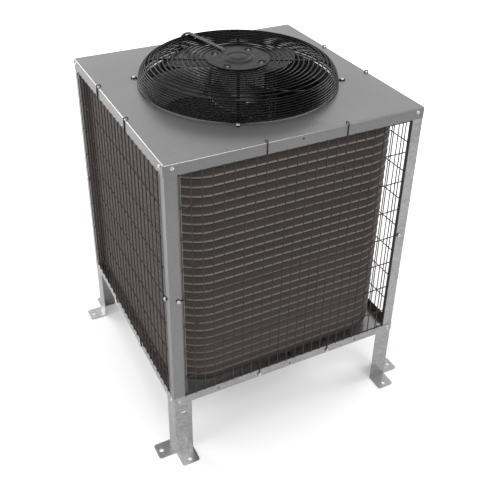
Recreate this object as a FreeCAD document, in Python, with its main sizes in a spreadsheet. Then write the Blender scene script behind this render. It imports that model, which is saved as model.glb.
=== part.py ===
import FreeCAD, Part
import math
import os
import Sketcher

# Remote condenser: a galvanised cabinet on four legs, a finned coil on three sides behind
# wire guards, and a fan that hangs from its own guard and blows up through the top panel.
# The origin is on the floor under the middle of the cabinet. +X is right, +Y is the rear.

Vector = FreeCAD.Vector
Rotation = FreeCAD.Rotation

driving_sizes = [
    ("cabinet_width", 700.0),
    ("cabinet_depth", 687.0),
    ("cabinet_height", 730.0),
    ("leg_height", 184.0),
    ("panel_sheet", 1.5),
    ("fold_radius", 2.5),
    ("lip_height", 30.0),
    ("pan_flange_height", 25.0),
    ("pan_drain_radius", 9.0),
    ("pan_hole_pitch", 219.0),
    ("small_hole_radius", 2.5),
    ("post_flange_width", 33.0),
    ("post_step_depth", 4.0),
    ("post_step_width", 7.0),
    ("edge_clearance", 0.5),
    ("panel_screw_inset", 40.0),
    ("leg_sheet", 2.5),
    ("leg_flange_width", 50.0),
    ("leg_slot_length", 14.0),
    ("leg_slot_width", 8.0),
    ("leg_slot_drop", 36.0),
    ("leg_slot_inset", 26.0),
    ("foot_length", 49.0),
    ("foot_hole_radius", 6.0),
    ("foot_hole_reach", 35.0),
    ("foot_corner_radius", 7.0),
    ("wire_radius", 1.5),
    ("guard_wire_inset", 1.5),
    ("guard_row_pitch", 87.3),
    ("hook_reach", 11.0),
    ("hook_rise", 4.5),
    ("hook_depth", 5.0),
    ("screw_shank_radius", 2.0),
    ("screw_hole_clearance", 0.3),
    ("screw_head_radius", 4.4),
    ("screw_head_height", 2.6),
    ("screw_length", 9.0),
    ("lip_screw_inset", 21.0),
    ("lip_screw_drop", 11.0),
    ("pan_screw_inset", 16.0),
    ("pan_screw_rise", 10.0),
    ("clip_screw_inset", 24.0),
    ("coil_setback", 24.0),
    ("coil_thickness", 28.0),
    ("coil_corner_radius", 55.0),
    ("coil_rear_gap", 42.0),
    ("coil_top_gap", 38.5),
    ("coil_row_pitch", 25.4),
    ("coil_tube_radius", 4.76),
    ("end_plate_margin", 5.0),
    ("bend_stand_off", 5.0),
    ("support_width", 40.0),
    ("throat_radius", 254.0),
    ("throat_drop", 48.0),
    ("throat_lip_radius", 8.0),
    ("collar_height", 5.0),
    ("collar_width", 32.0),
    ("collar_slope", 8.0),
    ("ring_wire_radius", 1.9),
    ("guard_set_out", 10.0),
    ("guard_rise", 64.0),
    ("guard_shoulder_radius", 54.0),
    ("guard_inner_radius", 95.0),
    ("strut_width", 10.0),
    ("strut_sheet", 3.0),
    ("strut_foot_inset", 2.0),
    ("lug_screw_inset", 10.0),
    ("plate_radius", 84.0),
    ("plate_sheet", 3.0),
    ("plate_dome_radius", 40.0),
    ("plate_dome_height", 5.0),
    ("motor_bolt_radius", 66.5),
    ("motor_flange_radius", 72.0),
    ("motor_flange_sheet", 6.0),
    ("rotor_radius", 70.0),
    ("rotor_wall", 9.0),
    ("rotor_floor", 5.0),
    ("rotor_top_gap", 3.0),
    ("rotor_height", 89.0),
    ("rotor_rim_radius", 76.0),
    ("air_gap", 1.0),
    ("shaft_radius", 7.5),
    ("running_clearance", 0.05),
    ("fit_clearance", 0.05),
    ("bearing_radius", 16.0),
    ("bearing_width", 11.0),
    ("stator_tube_wall", 8.0),
    ("stator_core_height", 50.0),
    ("blade_tip_gap", 6.0),
    ("blade_sheet", 2.0),
    ("blade_root_chord", 96.0),
    ("blade_tip_chord", 117.0),
    ("blade_root_pitch", 34.0),
    ("blade_tip_pitch", 16.0),
    ("blade_sweep", 31.0),
    ("blade_camber", 0.05),
    ("blade_rise", 31.0),
    ("blade_tip_lift", 12.0),
    ("lead_radius", 4.5),
    ("lead_start_radius", 56.0),
    ("lead_entry_drop", 35.0),
    ("grommet_wall", 2.5),
    ("grommet_brim", 2.0),
    ("grommet_lip", 1.5),
    ("box_width", 150.0),
    ("box_height", 180.0),
    ("box_depth", 44.0),
    ("box_offset", -72.0),
    ("box_top_drop", 40.0),
    ("cover_overlap", 10.0),
    ("conduit_hole_radius", 11.0),
    ("gland_setback", 17.0),
    ("gland_bore", 7.0),
    ("gland_length", 24.0),
    ("block_length", 60.0),
    ("block_width", 24.0),
    ("block_depth", 16.0),
    ("capacitor_radius", 16.0),
    ("capacitor_length", 70.0),
    ("discharge_radius", 6.35),
    ("liquid_radius", 4.76),
    ("tube_wall", 0.9),
    ("line_inset", 88.0),
    ("discharge_height", 520.0),
    ("liquid_height", 400.0),
    ("line_reach", 44.0),
    ("line_stand_off", 20.5),
    ("line_bend_radius", 12.0),
    ("stub_length", 26.0),
    ("stub_clearance", 0.1),
    ("bolt_radius", 3.5),
    ("bolt_head_radius", 7.0),
    ("bolt_length", 14.0),
    ("nut_radius", 12.0),
    ("nut_length", 14.0),
]

guard_wires = 24
guard_rows = 8
front_hooks = (8, 16)
left_hooks = (7, 15)
clip_row = 4
coil_rows = 26
shoulder_rings = 7
crown_rings = 9
blade_count = 5
corner_angles = (0, 90, 180, 270)
lug_angle = 63.6
bolt_angle = 39.4
lead_angle = 102.0
blade_angle = 11.0
blade_sections = 6

doc = FreeCAD.newDocument("remote_condenser")
sheet = doc.addObject("Spreadsheet::Sheet", "size")
for row, (alias, length) in enumerate(driving_sizes, start=1):
    sheet.set(f"A{row}", alias)
    sheet.set(f"B{row}", str(length))
    sheet.setAlias(f"B{row}", alias)
doc.recompute()

sub_parts = []

half_width = "size.cabinet_width / 2"
half_depth = "size.cabinet_depth / 2"
top_level = "(size.leg_height + size.cabinet_height)"
under_top = f"({top_level} - size.panel_sheet)"
pan_floor = "(size.leg_height + size.panel_sheet)"
flange_top = "(size.leg_height + size.pan_flange_height)"
lip_bottom = f"({top_level} - size.lip_height)"
post_x = f"({half_width} - size.panel_sheet)"
post_y = f"({half_depth} - size.panel_sheet)"
screw_hole = "(size.screw_shank_radius + size.screw_hole_clearance)"
coil_top = f"({under_top} - size.coil_top_gap)"
coil_bottom = f"({coil_top} - {coil_rows} * size.coil_row_pitch)"
coil_end = f"({half_depth} - size.coil_rear_gap)"
arm_middle = f"({half_width} - size.coil_setback - size.coil_thickness / 2)"
plate_under = f"({top_level} + size.guard_rise - 1.5 * size.ring_wire_radius)"
collar_flat = "(size.throat_radius + size.collar_width)"
collar_foot = f"({collar_flat} + size.collar_slope)"
lug_screw_radius = f"({collar_flat} - size.lug_screw_inset)"
guard_base = "(size.throat_radius + size.guard_set_out)"


def number(expression):
    """The value of an expression of the sheet, as a plain number."""
    return float(sheet.evalExpression(str(expression)))


def sub_part(shape_object, label):
    """Name an object as one piece of the condenser."""
    shape_object.Label = label
    sub_parts.append(shape_object)
    return shape_object


def place(shape_object, x=0, y=0, z=0, rotation=None):
    """Place an object with expressions for its position."""
    if rotation is not None:
        shape_object.Placement = FreeCAD.Placement(Vector(0, 0, 0), rotation)
    for axis, expression in (("x", x), ("y", y), ("z", z)):
        shape_object.setExpression(f"Placement.Base.{axis}", str(expression))
    return shape_object


def turn(degrees):
    return Rotation(Vector(0, 0, 1), degrees)


# Sketches and features


def new_body(label):
    body = doc.addObject("PartDesign::Body", label)
    return sub_part(body, label)


def new_sketch(body, plane, offset="0"):
    """A sketch on one of the body's own planes, moved along the plane's normal."""
    support = [item for item in body.Origin.OriginFeatures if item.Role == plane][0]
    sketch = body.newObject("Sketcher::SketchObject", "sketch")
    sketch.AttachmentSupport = [(support, "")]
    sketch.MapMode = "FlatFace"
    sketch.setExpression(".AttachmentOffset.Base.z", str(offset))
    return sketch


def fix_point(sketch, geometry, point, x, y):
    """Hold one point of a sketch at two expressions from the sketch's origin."""
    for kind, expression in (("DistanceX", x), ("DistanceY", y)):
        index = sketch.addConstraint(
            Sketcher.Constraint(kind, -1, 1, geometry, point, number(expression)))
        sketch.setExpression(f"Constraints[{index}]", str(expression))


def draw_outline(sketch, corners):
    """A closed outline of straight lines through corners given as expressions."""
    spots = [Vector(number(x), number(y), 0) for x, y in corners]
    first = sketch.GeometryCount
    count = len(spots)
    for index in range(count):
        line = Part.LineSegment(spots[index], spots[(index + 1) % count])
        sketch.addGeometry(line, False)
    for index in range(count):
        following = first + (index + 1) % count
        sketch.addConstraint(Sketcher.Constraint("Coincident", first + index, 2, following, 1))
    for index, (x, y) in enumerate(corners):
        fix_point(sketch, first + index, 1, x, y)


def draw_box(sketch, x0, y0, x1, y1):
    draw_outline(sketch, [(x0, y0), (x1, y0), (x1, y1), (x0, y1)])


def draw_circle(sketch, x, y, radius):
    centre = Vector(number(x), number(y), 0)
    circle = sketch.addGeometry(Part.Circle(centre, Vector(0, 0, 1), number(radius)), False)
    fix_point(sketch, circle, 3, x, y)
    index = sketch.addConstraint(Sketcher.Constraint("Radius", circle, number(radius)))
    sketch.setExpression(f"Constraints[{index}]", str(radius))


def draw_slot(sketch, x, y, length, width):
    """A slot with round ends, its length along the sketch's first direction."""
    reach = f"(({length}) / 2 - ({width}) / 2)"
    radius = f"(({width}) / 2)"
    far, near, r = number(f"{x} + {reach}"), number(f"{x} - {reach}"), number(radius)
    level = number(y)
    up = Vector(0, 0, 1)
    first = sketch.GeometryCount
    right_arc = Part.ArcOfCircle(Part.Circle(Vector(far, level, 0), up, r), -math.pi / 2, math.pi / 2)
    left_arc = Part.ArcOfCircle(Part.Circle(Vector(near, level, 0), up, r), math.pi / 2, 3 * math.pi / 2)
    sketch.addGeometry(right_arc, False)
    sketch.addGeometry(Part.LineSegment(Vector(far, level + r, 0), Vector(near, level + r, 0)), False)
    sketch.addGeometry(left_arc, False)
    sketch.addGeometry(Part.LineSegment(Vector(near, level - r, 0), Vector(far, level - r, 0)), False)
    for index, (start_end, other_start) in enumerate(((2, 1), (2, 1), (2, 1), (2, 1))):
        following = first + (index + 1) % 4
        sketch.addConstraint(
            Sketcher.Constraint("Tangent", first + index, start_end, following, other_start))
    fix_point(sketch, first, 3, f"{x} + {reach}", y)
    fix_point(sketch, first + 2, 3, f"{x} - {reach}", y)
    index = sketch.addConstraint(Sketcher.Constraint("Radius", first, r))
    sketch.setExpression(f"Constraints[{index}]", radius)


def add_pad(body, sketch, length, both_ways=False):
    pad = body.newObject("PartDesign::Pad", "pad")
    pad.Profile = sketch
    pad.SideType = "Symmetric" if both_ways else "One side"
    pad.setExpression("Length", str(length))
    return pad


def add_pocket(body, sketch, depth=None, both_ways=False):
    """A pocket of a given depth, or through everything when no depth is given."""
    pocket = body.newObject("PartDesign::Pocket", "pocket")
    pocket.Profile = sketch
    pocket.SideType = "Symmetric" if both_ways else "One side"
    if depth is None:
        pocket.Type = "ThroughAll"
    else:
        pocket.setExpression("Length", str(depth))
    return pocket


def add_revolution(body, sketch, kind="PartDesign::Revolution"):
    """A full turn of a sketch on the XZ plane about the upright axis."""
    feature = body.newObject(kind, "turned")
    feature.Profile = sketch
    feature.ReferenceAxis = (sketch, ["V_Axis"])
    feature.Angle = 360
    return feature


def round_edges(body, base, radius, wanted):
    """Fillet the edges of a feature that a test on the edge picks out."""
    doc.recompute()
    names = [f"Edge{index}" for index, edge in enumerate(base.Shape.Edges, start=1) if wanted(edge)]
    fillet = body.newObject("PartDesign::Fillet", "fillet")
    fillet.Base = (base, names)
    fillet.setExpression("Radius", str(radius))
    return fillet


def is_upright(edge):
    start, end = edge.Vertexes[0].Point, edge.Vertexes[-1].Point
    return math.hypot(start.x - end.x, start.y - end.y) < 0.01 and abs(start.z - end.z) > 0.01


def add_polar(body, feature, count):
    pattern = body.newObject("PartDesign::PolarPattern", "pattern")
    pattern.Originals = [feature]
    upright = [item for item in body.Origin.OriginFeatures if item.Role == "Z_Axis"][0]
    pattern.Axis = (upright, [""])
    pattern.Angle = 360
    pattern.Occurrences = count
    body.Tip = pattern
    return pattern


def mirrored(x, y):
    """The four places that a corner place gives by symmetry."""
    return [(f"{sx} * ({x})", f"{sy} * ({y})") for sx in (-1, 1) for sy in (-1, 1)]


# Small solids


def prism(name, sides, radius, height):
    solid = doc.addObject("Part::Prism", name)
    solid.Polygon = sides
    solid.setExpression("Circumradius", str(radius))
    solid.setExpression("Height", str(height))
    return solid


def cylinder(name, radius, height):
    solid = doc.addObject("Part::Cylinder", name)
    solid.setExpression("Radius", str(radius))
    solid.setExpression("Height", str(height))
    return solid


def cut(name, base, tool):
    result = doc.addObject("Part::Cut", name)
    result.Base = base
    result.Tool = tool
    return result


def fuse(name, pieces):
    result = doc.addObject("Part::MultiFuse", name)
    result.Shapes = pieces
    return result


def group(label, pieces):
    compound = doc.addObject("Part::Compound", label)
    compound.Links = pieces
    return sub_part(compound, label)


toward = {
    "up": Rotation(),
    "down": Rotation(Vector(1, 0, 0), 180),
    "front": Rotation(Vector(1, 0, 0), 90),
    "rear": Rotation(Vector(1, 0, 0), -90),
    "right": Rotation(Vector(0, 1, 0), 90),
    "left": Rotation(Vector(0, 1, 0), -90),
}


def screw(x, y, z, facing):
    """A hexagon-headed sheet-metal screw whose head's underside is at the place given."""
    head = prism("screw_head", 6, "size.screw_head_radius", "size.screw_head_height")
    shank = prism("screw_shank", 6, "size.screw_shank_radius", "size.screw_length")
    place(shank, 0, 0, "-size.screw_length")
    return place(fuse("screw", [head, shank]), x, y, z, toward[facing])


def bent_points(points, bends):
    """The points of a path whose corners are rounded in four straight facets each."""
    if not isinstance(bends, list):
        bends = [bends] * (len(points) - 2)
    path = [points[0]]
    for index, bend_radius in enumerate(bends, start=1):
        corner = points[index]
        back = (points[index - 1] - corner).normalize()
        ahead = (points[index + 1] - corner).normalize()
        half_angle = back.getAngle(ahead) / 2
        inward = (back + ahead).normalize()
        centre = corner + inward * (bend_radius / math.sin(half_angle))
        first = corner + back * (bend_radius / math.tan(half_angle)) - centre
        axis = back.cross(first)
        for step in range(5):
            turned = Rotation(axis, step / 4 * (180 - 2 * math.degrees(half_angle)))
            path.append(centre + turned.multVec(first))
    path.append(points[-1])
    return path


def many_sided_bar(points, radius, sides=6):
    """A bar along straight runs that meet in mitres, its first run square to X."""
    path = Part.makePolygon(points)
    ahead = (points[1] - points[0]).normalize()
    side = Vector(1, 0, 0)
    other = ahead.cross(side)
    corners = []
    for step in range(sides + 1):
        angle = math.radians(360 / sides * step)
        corners.append(points[0] + side * (radius * math.cos(angle)) + other * (radius * math.sin(angle)))
    return path.makePipeShell([Part.makePolygon(corners)], True, False, 1)


def shape_part(label, shape):
    feature = doc.addObject("Part::Feature", label)
    feature.Shape = shape
    return sub_part(feature, label)


# Base pan


def build_base_pan():
    body = new_body("base_pan")
    outside = new_sketch(body, "XY_Plane", "size.leg_height")
    draw_box(outside, f"-{half_width}", f"-{half_depth}", half_width, half_depth)
    block = add_pad(body, outside, "size.pan_flange_height")
    rounded = round_edges(body, block, "size.fold_radius", is_upright)
    inside = new_sketch(body, "XY_Plane", flange_top)
    draw_box(inside, f"-{post_x}", f"-{post_y}", post_x, post_y)
    add_pocket(body, inside, "size.pan_flange_height - size.panel_sheet")
    floor_holes = new_sketch(body, "XY_Plane", pan_floor)
    for x, y in mirrored("size.cabinet_width / 4", "size.cabinet_depth / 4"):
        draw_circle(floor_holes, x, y, "size.pan_drain_radius")
    for x, y in mirrored(f"{post_x} - size.leg_flange_width / 2", f"{post_y} - size.leg_flange_width / 2"):
        draw_circle(floor_holes, x, y, "size.small_hole_radius + size.screw_hole_clearance + 1")
    add_pocket(body, floor_holes)
    screw_x = f"{half_width} - size.pan_screw_inset"
    screw_y = f"{half_depth} - size.pan_screw_inset"
    rise = "size.leg_height + size.pan_screw_rise"
    across = new_sketch(body, "XZ_Plane")
    for place_x in (f"-({screw_x})", screw_x):
        draw_circle(across, place_x, rise, screw_hole)
    for step in (-1, 0, 1):
        draw_circle(across, f"{step} * size.pan_hole_pitch", rise, "size.small_hole_radius")
    for hook in front_hooks:
        draw_circle(across, guard_wire_place(hook, half_width), rise, screw_hole)
    add_pocket(body, across, both_ways=True)
    along = new_sketch(body, "YZ_Plane")
    for place_y in (f"-({screw_y})", screw_y):
        draw_circle(along, place_y, rise, screw_hole)
    for hook in front_hooks:
        draw_circle(along, guard_wire_place(hook, half_depth), rise, screw_hole)
    add_pocket(body, along, both_ways=True)
    return rounded


# Side guards


def guard_edge(half_span):
    """Where a guard's outermost wires stand, just inside the posts' edges."""
    return f"({half_span} - size.panel_sheet - size.post_flange_width - size.guard_wire_inset)"


def guard_wire_place(index, half_span):
    edge = guard_edge(half_span)
    return f"(-{edge} + {index} * 2 * {edge} / {guard_wires - 1})"


def guard_row_level(row):
    return f"({lip_bottom} - size.wire_radius - size.edge_clearance / 2 - {row} * size.guard_row_pitch)"


bottom_wire_level = f"({flange_top} + size.wire_radius + size.edge_clearance / 2)"


def eye(x, y, z):
    """A flat eye round a screw, its back against the sheet."""
    ring = prism("eye", 6, "3 * size.wire_radius", "2 * size.wire_radius")
    bore = prism("eye_hole", 6, screw_hole, "2 * size.wire_radius")
    return place(cut("eye_ring", ring, bore), x, y, z, toward["front"])


def hook_wire(x):
    """An upright wire whose top reaches over the lip and down into the panel."""
    r = number("size.wire_radius")
    low = number(f"size.leg_height + size.pan_screw_rise + 3 * size.wire_radius * 0.866")
    high = number(f"{top_level} + size.hook_rise")
    reach = number("size.hook_reach")
    tip = number(f"{top_level} - size.hook_depth")
    across = number(x)
    spots = [Vector(across, -r, low), Vector(across, -r, high),
             Vector(across, reach - r, high), Vector(across, reach - r, tip)]
    feature = doc.addObject("Part::Feature", "hook_wire")
    feature.Shape = many_sided_bar(bent_points(spots, 1.6 * r), r)
    return feature


def build_side_guard(label, half_span, hooks, angle, x, y):
    """Upright wires outside, level wires behind them, eyes for the screws."""
    edge = guard_edge(half_span)
    pieces = []
    for index in range(guard_wires):
        across = guard_wire_place(index, half_span)
        if index in hooks:
            pieces.append(hook_wire(across))
            pieces.append(eye(across, "0", "size.leg_height + size.pan_screw_rise"))
            continue
        wire = prism("wire", 6, "size.wire_radius",
                     f"{guard_row_level(0)} - {bottom_wire_level} + 2 * size.wire_radius")
        place(wire, across, "-size.wire_radius", f"{bottom_wire_level} - size.wire_radius")
        pieces.append(wire)
    levels = [guard_row_level(row) for row in range(guard_rows)] + [bottom_wire_level]
    for level in levels:
        wire = prism("wire", 6, "size.wire_radius",
                     f"2 * ({edge} + size.guard_wire_inset - size.running_clearance)")
        place(wire, f"-{edge} - size.guard_wire_inset + size.running_clearance", "size.wire_radius",
              level, toward["right"])
        pieces.append(wire)
    for side in (-1, 1):
        clip = f"{side} * ({half_span} - size.clip_screw_inset)"
        pieces.append(eye(clip, "size.panel_sheet", guard_row_level(clip_row)))
        link = prism("link", 6, "size.wire_radius",
                     f"{half_span} - size.clip_screw_inset - 3 * size.wire_radius"
                     f" - {edge} - size.wire_radius")
        start = f"{edge} + size.wire_radius" if side > 0 else \
            f"-({half_span} - size.clip_screw_inset - 3 * size.wire_radius)"
        place(link, start, "size.panel_sheet - size.wire_radius", guard_row_level(clip_row),
              toward["right"])
        pieces.append(link)
    guard = group(label, pieces)
    return place(guard, x, y, 0, turn(angle))


# Top panel


def build_top_panel():
    body = new_body("top_panel")
    outside = new_sketch(body, "XY_Plane", lip_bottom)
    draw_box(outside, f"-{half_width}", f"-{half_depth}", half_width, half_depth)
    block = add_pad(body, outside, "size.lip_height")
    level = number(top_level)

    def on_fold(edge):
        middle = edge.CenterOfMass
        return is_upright(edge) or middle.z > level - 0.01

    round_edges(body, block, "size.fold_radius", on_fold)
    inside = new_sketch(body, "XY_Plane", lip_bottom)
    draw_box(inside, f"-{post_x}", f"-{post_y}", post_x, post_y)
    hollow = add_pocket(body, inside, "size.lip_height - size.panel_sheet")
    hollow.Reversed = True
    opening = new_sketch(body, "XY_Plane", top_level)
    draw_circle(opening, 0, 0, f"{collar_foot} - 1")
    add_pocket(body, opening)
    collar = new_sketch(body, "XZ_Plane")
    draw_collar(collar)
    add_revolution(body, collar)
    holes = new_sketch(body, "XY_Plane", f"{top_level} + size.collar_height")
    for quarter in range(4):
        angle = lug_angle + 90 * quarter
        draw_circle(holes, f"{lug_screw_radius} * cos({angle} deg)",
                    f"{lug_screw_radius} * sin({angle} deg)", screw_hole)
    draw_circle(holes, f"{lead_drop_radius} * cos({lead_angle} deg)",
                f"{lead_drop_radius} * sin({lead_angle} deg)", "size.lead_radius + size.grommet_wall")
    hook_back = "size.hook_reach - size.wire_radius"
    hook_hole = "size.wire_radius + size.screw_hole_clearance"
    for hook in front_hooks:
        draw_circle(holes, guard_wire_place(hook, half_width), f"-{half_depth} + {hook_back}", hook_hole)
        for side in (-1, 1):
            draw_circle(holes, f"{side} * ({half_width} - ({hook_back}))",
                        guard_wire_place(hook, half_depth), hook_hole)
    add_pocket(body, holes)
    drop = f"{top_level} - size.lip_screw_drop"
    across = new_sketch(body, "XZ_Plane")
    for side in (-1, 1):
        draw_circle(across, f"{side} * ({half_width} - size.lip_screw_inset)", drop, screw_hole)
    draw_circle(across, "0", drop, "size.small_hole_radius")
    add_pocket(body, across, both_ways=True)
    along = new_sketch(body, "YZ_Plane")
    for side in (-1, 1):
        draw_circle(along, f"{side} * ({half_depth} - size.lip_screw_inset)", drop, screw_hole)
    add_pocket(body, along, both_ways=True)


def draw_collar(sketch):
    """The drawn ring under the guard and the throat that turns down round the fan."""
    sheet_wall = "size.panel_sheet"
    bead = "size.throat_lip_radius"
    raised = f"({top_level} + size.collar_height)"
    bend_x = f"(size.throat_radius + {bead})"
    bend_z = f"({raised} - {bead})"
    bottom = f"({top_level} - size.throat_drop)"
    rounding = (0, 22.5, 45, 67.5, 90)
    upper = [(f"{bend_x} - {bead} * sin({angle} deg)", f"{bend_z} + {bead} * cos({angle} deg)")
             for angle in rounding]
    lower = [(f"{bend_x} - ({bead} - {sheet_wall}) * sin({angle} deg)",
              f"{bend_z} + ({bead} - {sheet_wall}) * cos({angle} deg)") for angle in reversed(rounding)]
    draw_outline(sketch, [
        (f"{collar_foot} + 1", top_level), (collar_foot, top_level), (collar_flat, raised), *upper,
        ("size.throat_radius", bottom), (f"size.throat_radius + {sheet_wall}", bottom), *lower,
        (f"{collar_flat} - {sheet_wall} / 2", f"{raised} - {sheet_wall}"),
        (f"{collar_foot} - {sheet_wall} / 2", f"{top_level} - {sheet_wall}"),
        (f"{collar_foot} + 1", f"{top_level} - {sheet_wall}"),
    ])


# Corner posts and legs


def build_corner_posts():
    names = ("post_front_left", "post_front_right", "post_rear_right", "post_rear_left")
    signs = ((-1, -1), (1, -1), (1, 1), (-1, 1))
    rear_planes = {"post_rear_right": "XZ_Plane", "post_rear_left": "YZ_Plane"}
    for name, angle, (sx, sy) in zip(names, corner_angles, signs):
        build_post(name, rear_planes.get(name))
        place(sub_parts[-1], f"{sx} * {post_x}", f"{sy} * {post_y}", 0, turn(angle))


def build_post(label, panel_plane):
    """An angle whose first flange has a stepped strip that the guard rests in."""
    body = new_body(label)
    wall = "size.panel_sheet"
    width = "size.post_flange_width"
    section = new_sketch(body, "XY_Plane", pan_floor)
    draw_outline(section, [("0", "0"), (width, "0"), (width, wall), (wall, wall), (wall, width), ("0", width)])
    angle_bar = add_pad(body, section, f"{under_top} - {pan_floor}")
    step = "size.post_step_depth"
    far = f"{width} + size.post_step_width"
    strip = new_sketch(body, "XY_Plane", f"{flange_top} + size.edge_clearance")
    draw_outline(strip, [
        (f"{width} - {wall}", wall), (width, wall), (width, step),
        (far, step), (far, f"{step} + {wall}"), (f"{width} - {wall}", f"{step} + {wall}")])
    add_pad(body, strip, f"{under_top} - {flange_top} - size.edge_clearance")
    inset = {
        "lip": (f"size.lip_screw_inset - {wall}", f"{top_level} - size.lip_screw_drop"),
        "pan": (f"size.pan_screw_inset - {wall}", "size.leg_height + size.pan_screw_rise"),
        "clip": (f"size.clip_screw_inset - {wall}", guard_row_level(clip_row)),
    }
    for plane in ("XZ_Plane", "YZ_Plane"):
        holes = new_sketch(body, plane)
        for across, level in inset.values():
            draw_circle(holes, across, level, screw_hole)
        if plane == panel_plane:
            for level in rear_screw_levels():
                draw_circle(holes, f"size.clip_screw_inset - {wall}", level, screw_hole)
        add_pocket(body, holes, both_ways=True)
    return angle_bar


def build_legs():
    names = ("leg_front_left", "leg_front_right", "leg_rear_right", "leg_rear_left")
    signs = ((-1, -1), (1, -1), (1, 1), (-1, 1))
    for name, angle, (sx, sy) in zip(names, corner_angles, signs):
        build_leg(name)
        place(sub_parts[-1], f"{sx} * {post_x}", f"{sy} * {post_y}", 0, turn(angle))


def build_leg(label):
    """An angle with two feet bent outward and a pad under the pan's floor."""
    body = new_body(label)
    wall = "size.leg_sheet"
    width = "size.leg_flange_width"
    section = new_sketch(body, "XY_Plane")
    draw_outline(section, [("0", "0"), (width, "0"), (width, wall), (wall, wall), (wall, width), ("0", width)])
    add_pad(body, section, "size.leg_height")
    reach = "-size.foot_length"
    feet = new_sketch(body, "XY_Plane")
    draw_outline(feet, [("0", reach), (width, reach), (width, wall), (wall, wall), (wall, width),
                        (reach, width), (reach, "0"), ("0", "0")])
    foot_pad = add_pad(body, feet, wall)
    length = number("size.foot_length")

    def at_foot_end(edge):
        middle = edge.CenterOfMass
        return is_upright(edge) and min(middle.x, middle.y) < 1 - length

    round_edges(body, foot_pad, "size.foot_corner_radius", at_foot_end)
    shelf = new_sketch(body, "XY_Plane", f"size.leg_height - {wall}")
    draw_box(shelf, "0", "0", width, width)
    add_pad(body, shelf, wall)
    holes = new_sketch(body, "XY_Plane", "size.leg_height")
    draw_circle(holes, f"{width} / 2", f"{width} / 2", "size.small_hole_radius + size.screw_hole_clearance + 1")
    draw_circle(holes, f"{width} / 2", "-size.foot_hole_reach", "size.foot_hole_radius")
    draw_circle(holes, "-size.foot_hole_reach", f"{width} / 2", "size.foot_hole_radius")
    add_pocket(body, holes)
    slot = new_sketch(body, "XZ_Plane")
    draw_slot(slot, "size.leg_slot_inset", "size.leg_height - size.leg_slot_drop",
              "size.leg_slot_length", "size.leg_slot_width")
    add_pocket(body, slot, f"2 * {wall} + 1")


# Rear panel and terminal box


def rear_screw_levels():
    return (f"{flange_top} + size.panel_screw_inset", f"{lip_bottom} - size.panel_screw_inset")


def build_rear_panel():
    body = new_body("rear_panel")
    outline = new_sketch(body, "XZ_Plane", f"-{half_depth}")
    draw_box(outline, f"-{post_x}", f"{flange_top} + size.edge_clearance",
             post_x, f"{lip_bottom} - size.edge_clearance")
    for side in (-1, 1):
        screw_x = f"{side} * ({half_width} - size.clip_screw_inset)"
        for level in (*rear_screw_levels(), guard_row_level(clip_row)):
            draw_circle(outline, screw_x, level, screw_hole)
    draw_circle(outline, line_x, "size.discharge_height", "size.discharge_radius + size.edge_clearance")
    draw_circle(outline, line_x, "size.liquid_height", "size.liquid_radius + size.edge_clearance")
    draw_circle(outline, lead_entry_x, lead_entry_level, "size.lead_radius + size.grommet_wall")
    add_pad(body, outline, "size.panel_sheet")


def build_terminal_box():
    body = new_body("terminal_box")
    wall = "size.panel_sheet"
    outline = new_sketch(body, "XZ_Plane", f"-({half_depth} + size.box_depth)")
    draw_box(outline, box_left, box_bottom, box_right, box_top)
    add_pad(body, outline, "size.box_depth")
    inside = new_sketch(body, "XZ_Plane", f"-({half_depth} + size.box_depth)")
    draw_box(inside, f"{box_left} + {wall}", f"{box_bottom} + {wall}", f"{box_right} - {wall}",
             f"{box_top} - {wall}")
    hollow = add_pocket(body, inside, f"size.box_depth - {wall}")
    hollow.Reversed = True
    entry = new_sketch(body, "XZ_Plane", f"-({half_depth} - 1)")
    draw_circle(entry, lead_entry_x, lead_entry_level, "size.lead_radius + size.grommet_wall")
    add_pocket(body, entry, "size.panel_sheet + 2").Reversed = False
    conduit = new_sketch(body, "XY_Plane", f"{box_bottom} + {wall}")
    draw_circle(conduit, "size.box_offset", gland_y, "size.conduit_hole_radius")
    add_pocket(body, conduit, "size.panel_sheet + 1")
    sides = new_sketch(body, "YZ_Plane")
    draw_circle(sides, cover_screw_y, f"({box_bottom} + {box_top}) / 2", screw_hole)
    add_pocket(body, sides, both_ways=True)


def build_terminal_cover():
    body = new_body("terminal_box_cover")
    wall = "size.panel_sheet"
    front = f"({half_depth} + size.box_depth - size.cover_overlap)"
    outline = new_sketch(body, "XZ_Plane", f"-({half_depth} + size.box_depth + {wall})")
    draw_box(outline, f"{box_left} - {wall}", f"{box_bottom} - {wall}", f"{box_right} + {wall}",
             f"{box_top} + {wall}")
    block = add_pad(body, outline, f"size.cover_overlap + {wall}")
    hollow = new_sketch(body, "XZ_Plane", f"-{front}")
    draw_box(hollow, box_left, box_bottom, box_right, box_top)
    add_pocket(body, hollow, "size.cover_overlap")
    sides = new_sketch(body, "YZ_Plane")
    draw_circle(sides, cover_screw_y, f"({box_bottom} + {box_top}) / 2", screw_hole)
    add_pocket(body, sides, both_ways=True)
    return block


def build_cable_gland():
    """A flanged gland hanging in the box's lower wall, its bore straight through."""
    body = new_body("cable_gland")
    profile = new_sketch(body, "XZ_Plane")
    neck = "size.conduit_hole_radius - 0.1"
    rim = "size.conduit_hole_radius + 4"
    draw_outline(profile, [
        ("size.gland_bore", "-size.gland_length"), (neck, "-size.gland_length"), (neck, "-8"),
        (rim, "-8"), (rim, "0"), (neck, "0"), (neck, "size.panel_sheet + 3"),
        ("size.gland_bore", "size.panel_sheet + 3")])
    add_revolution(body, profile)
    place(body, "size.box_offset", gland_y, box_bottom)


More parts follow.
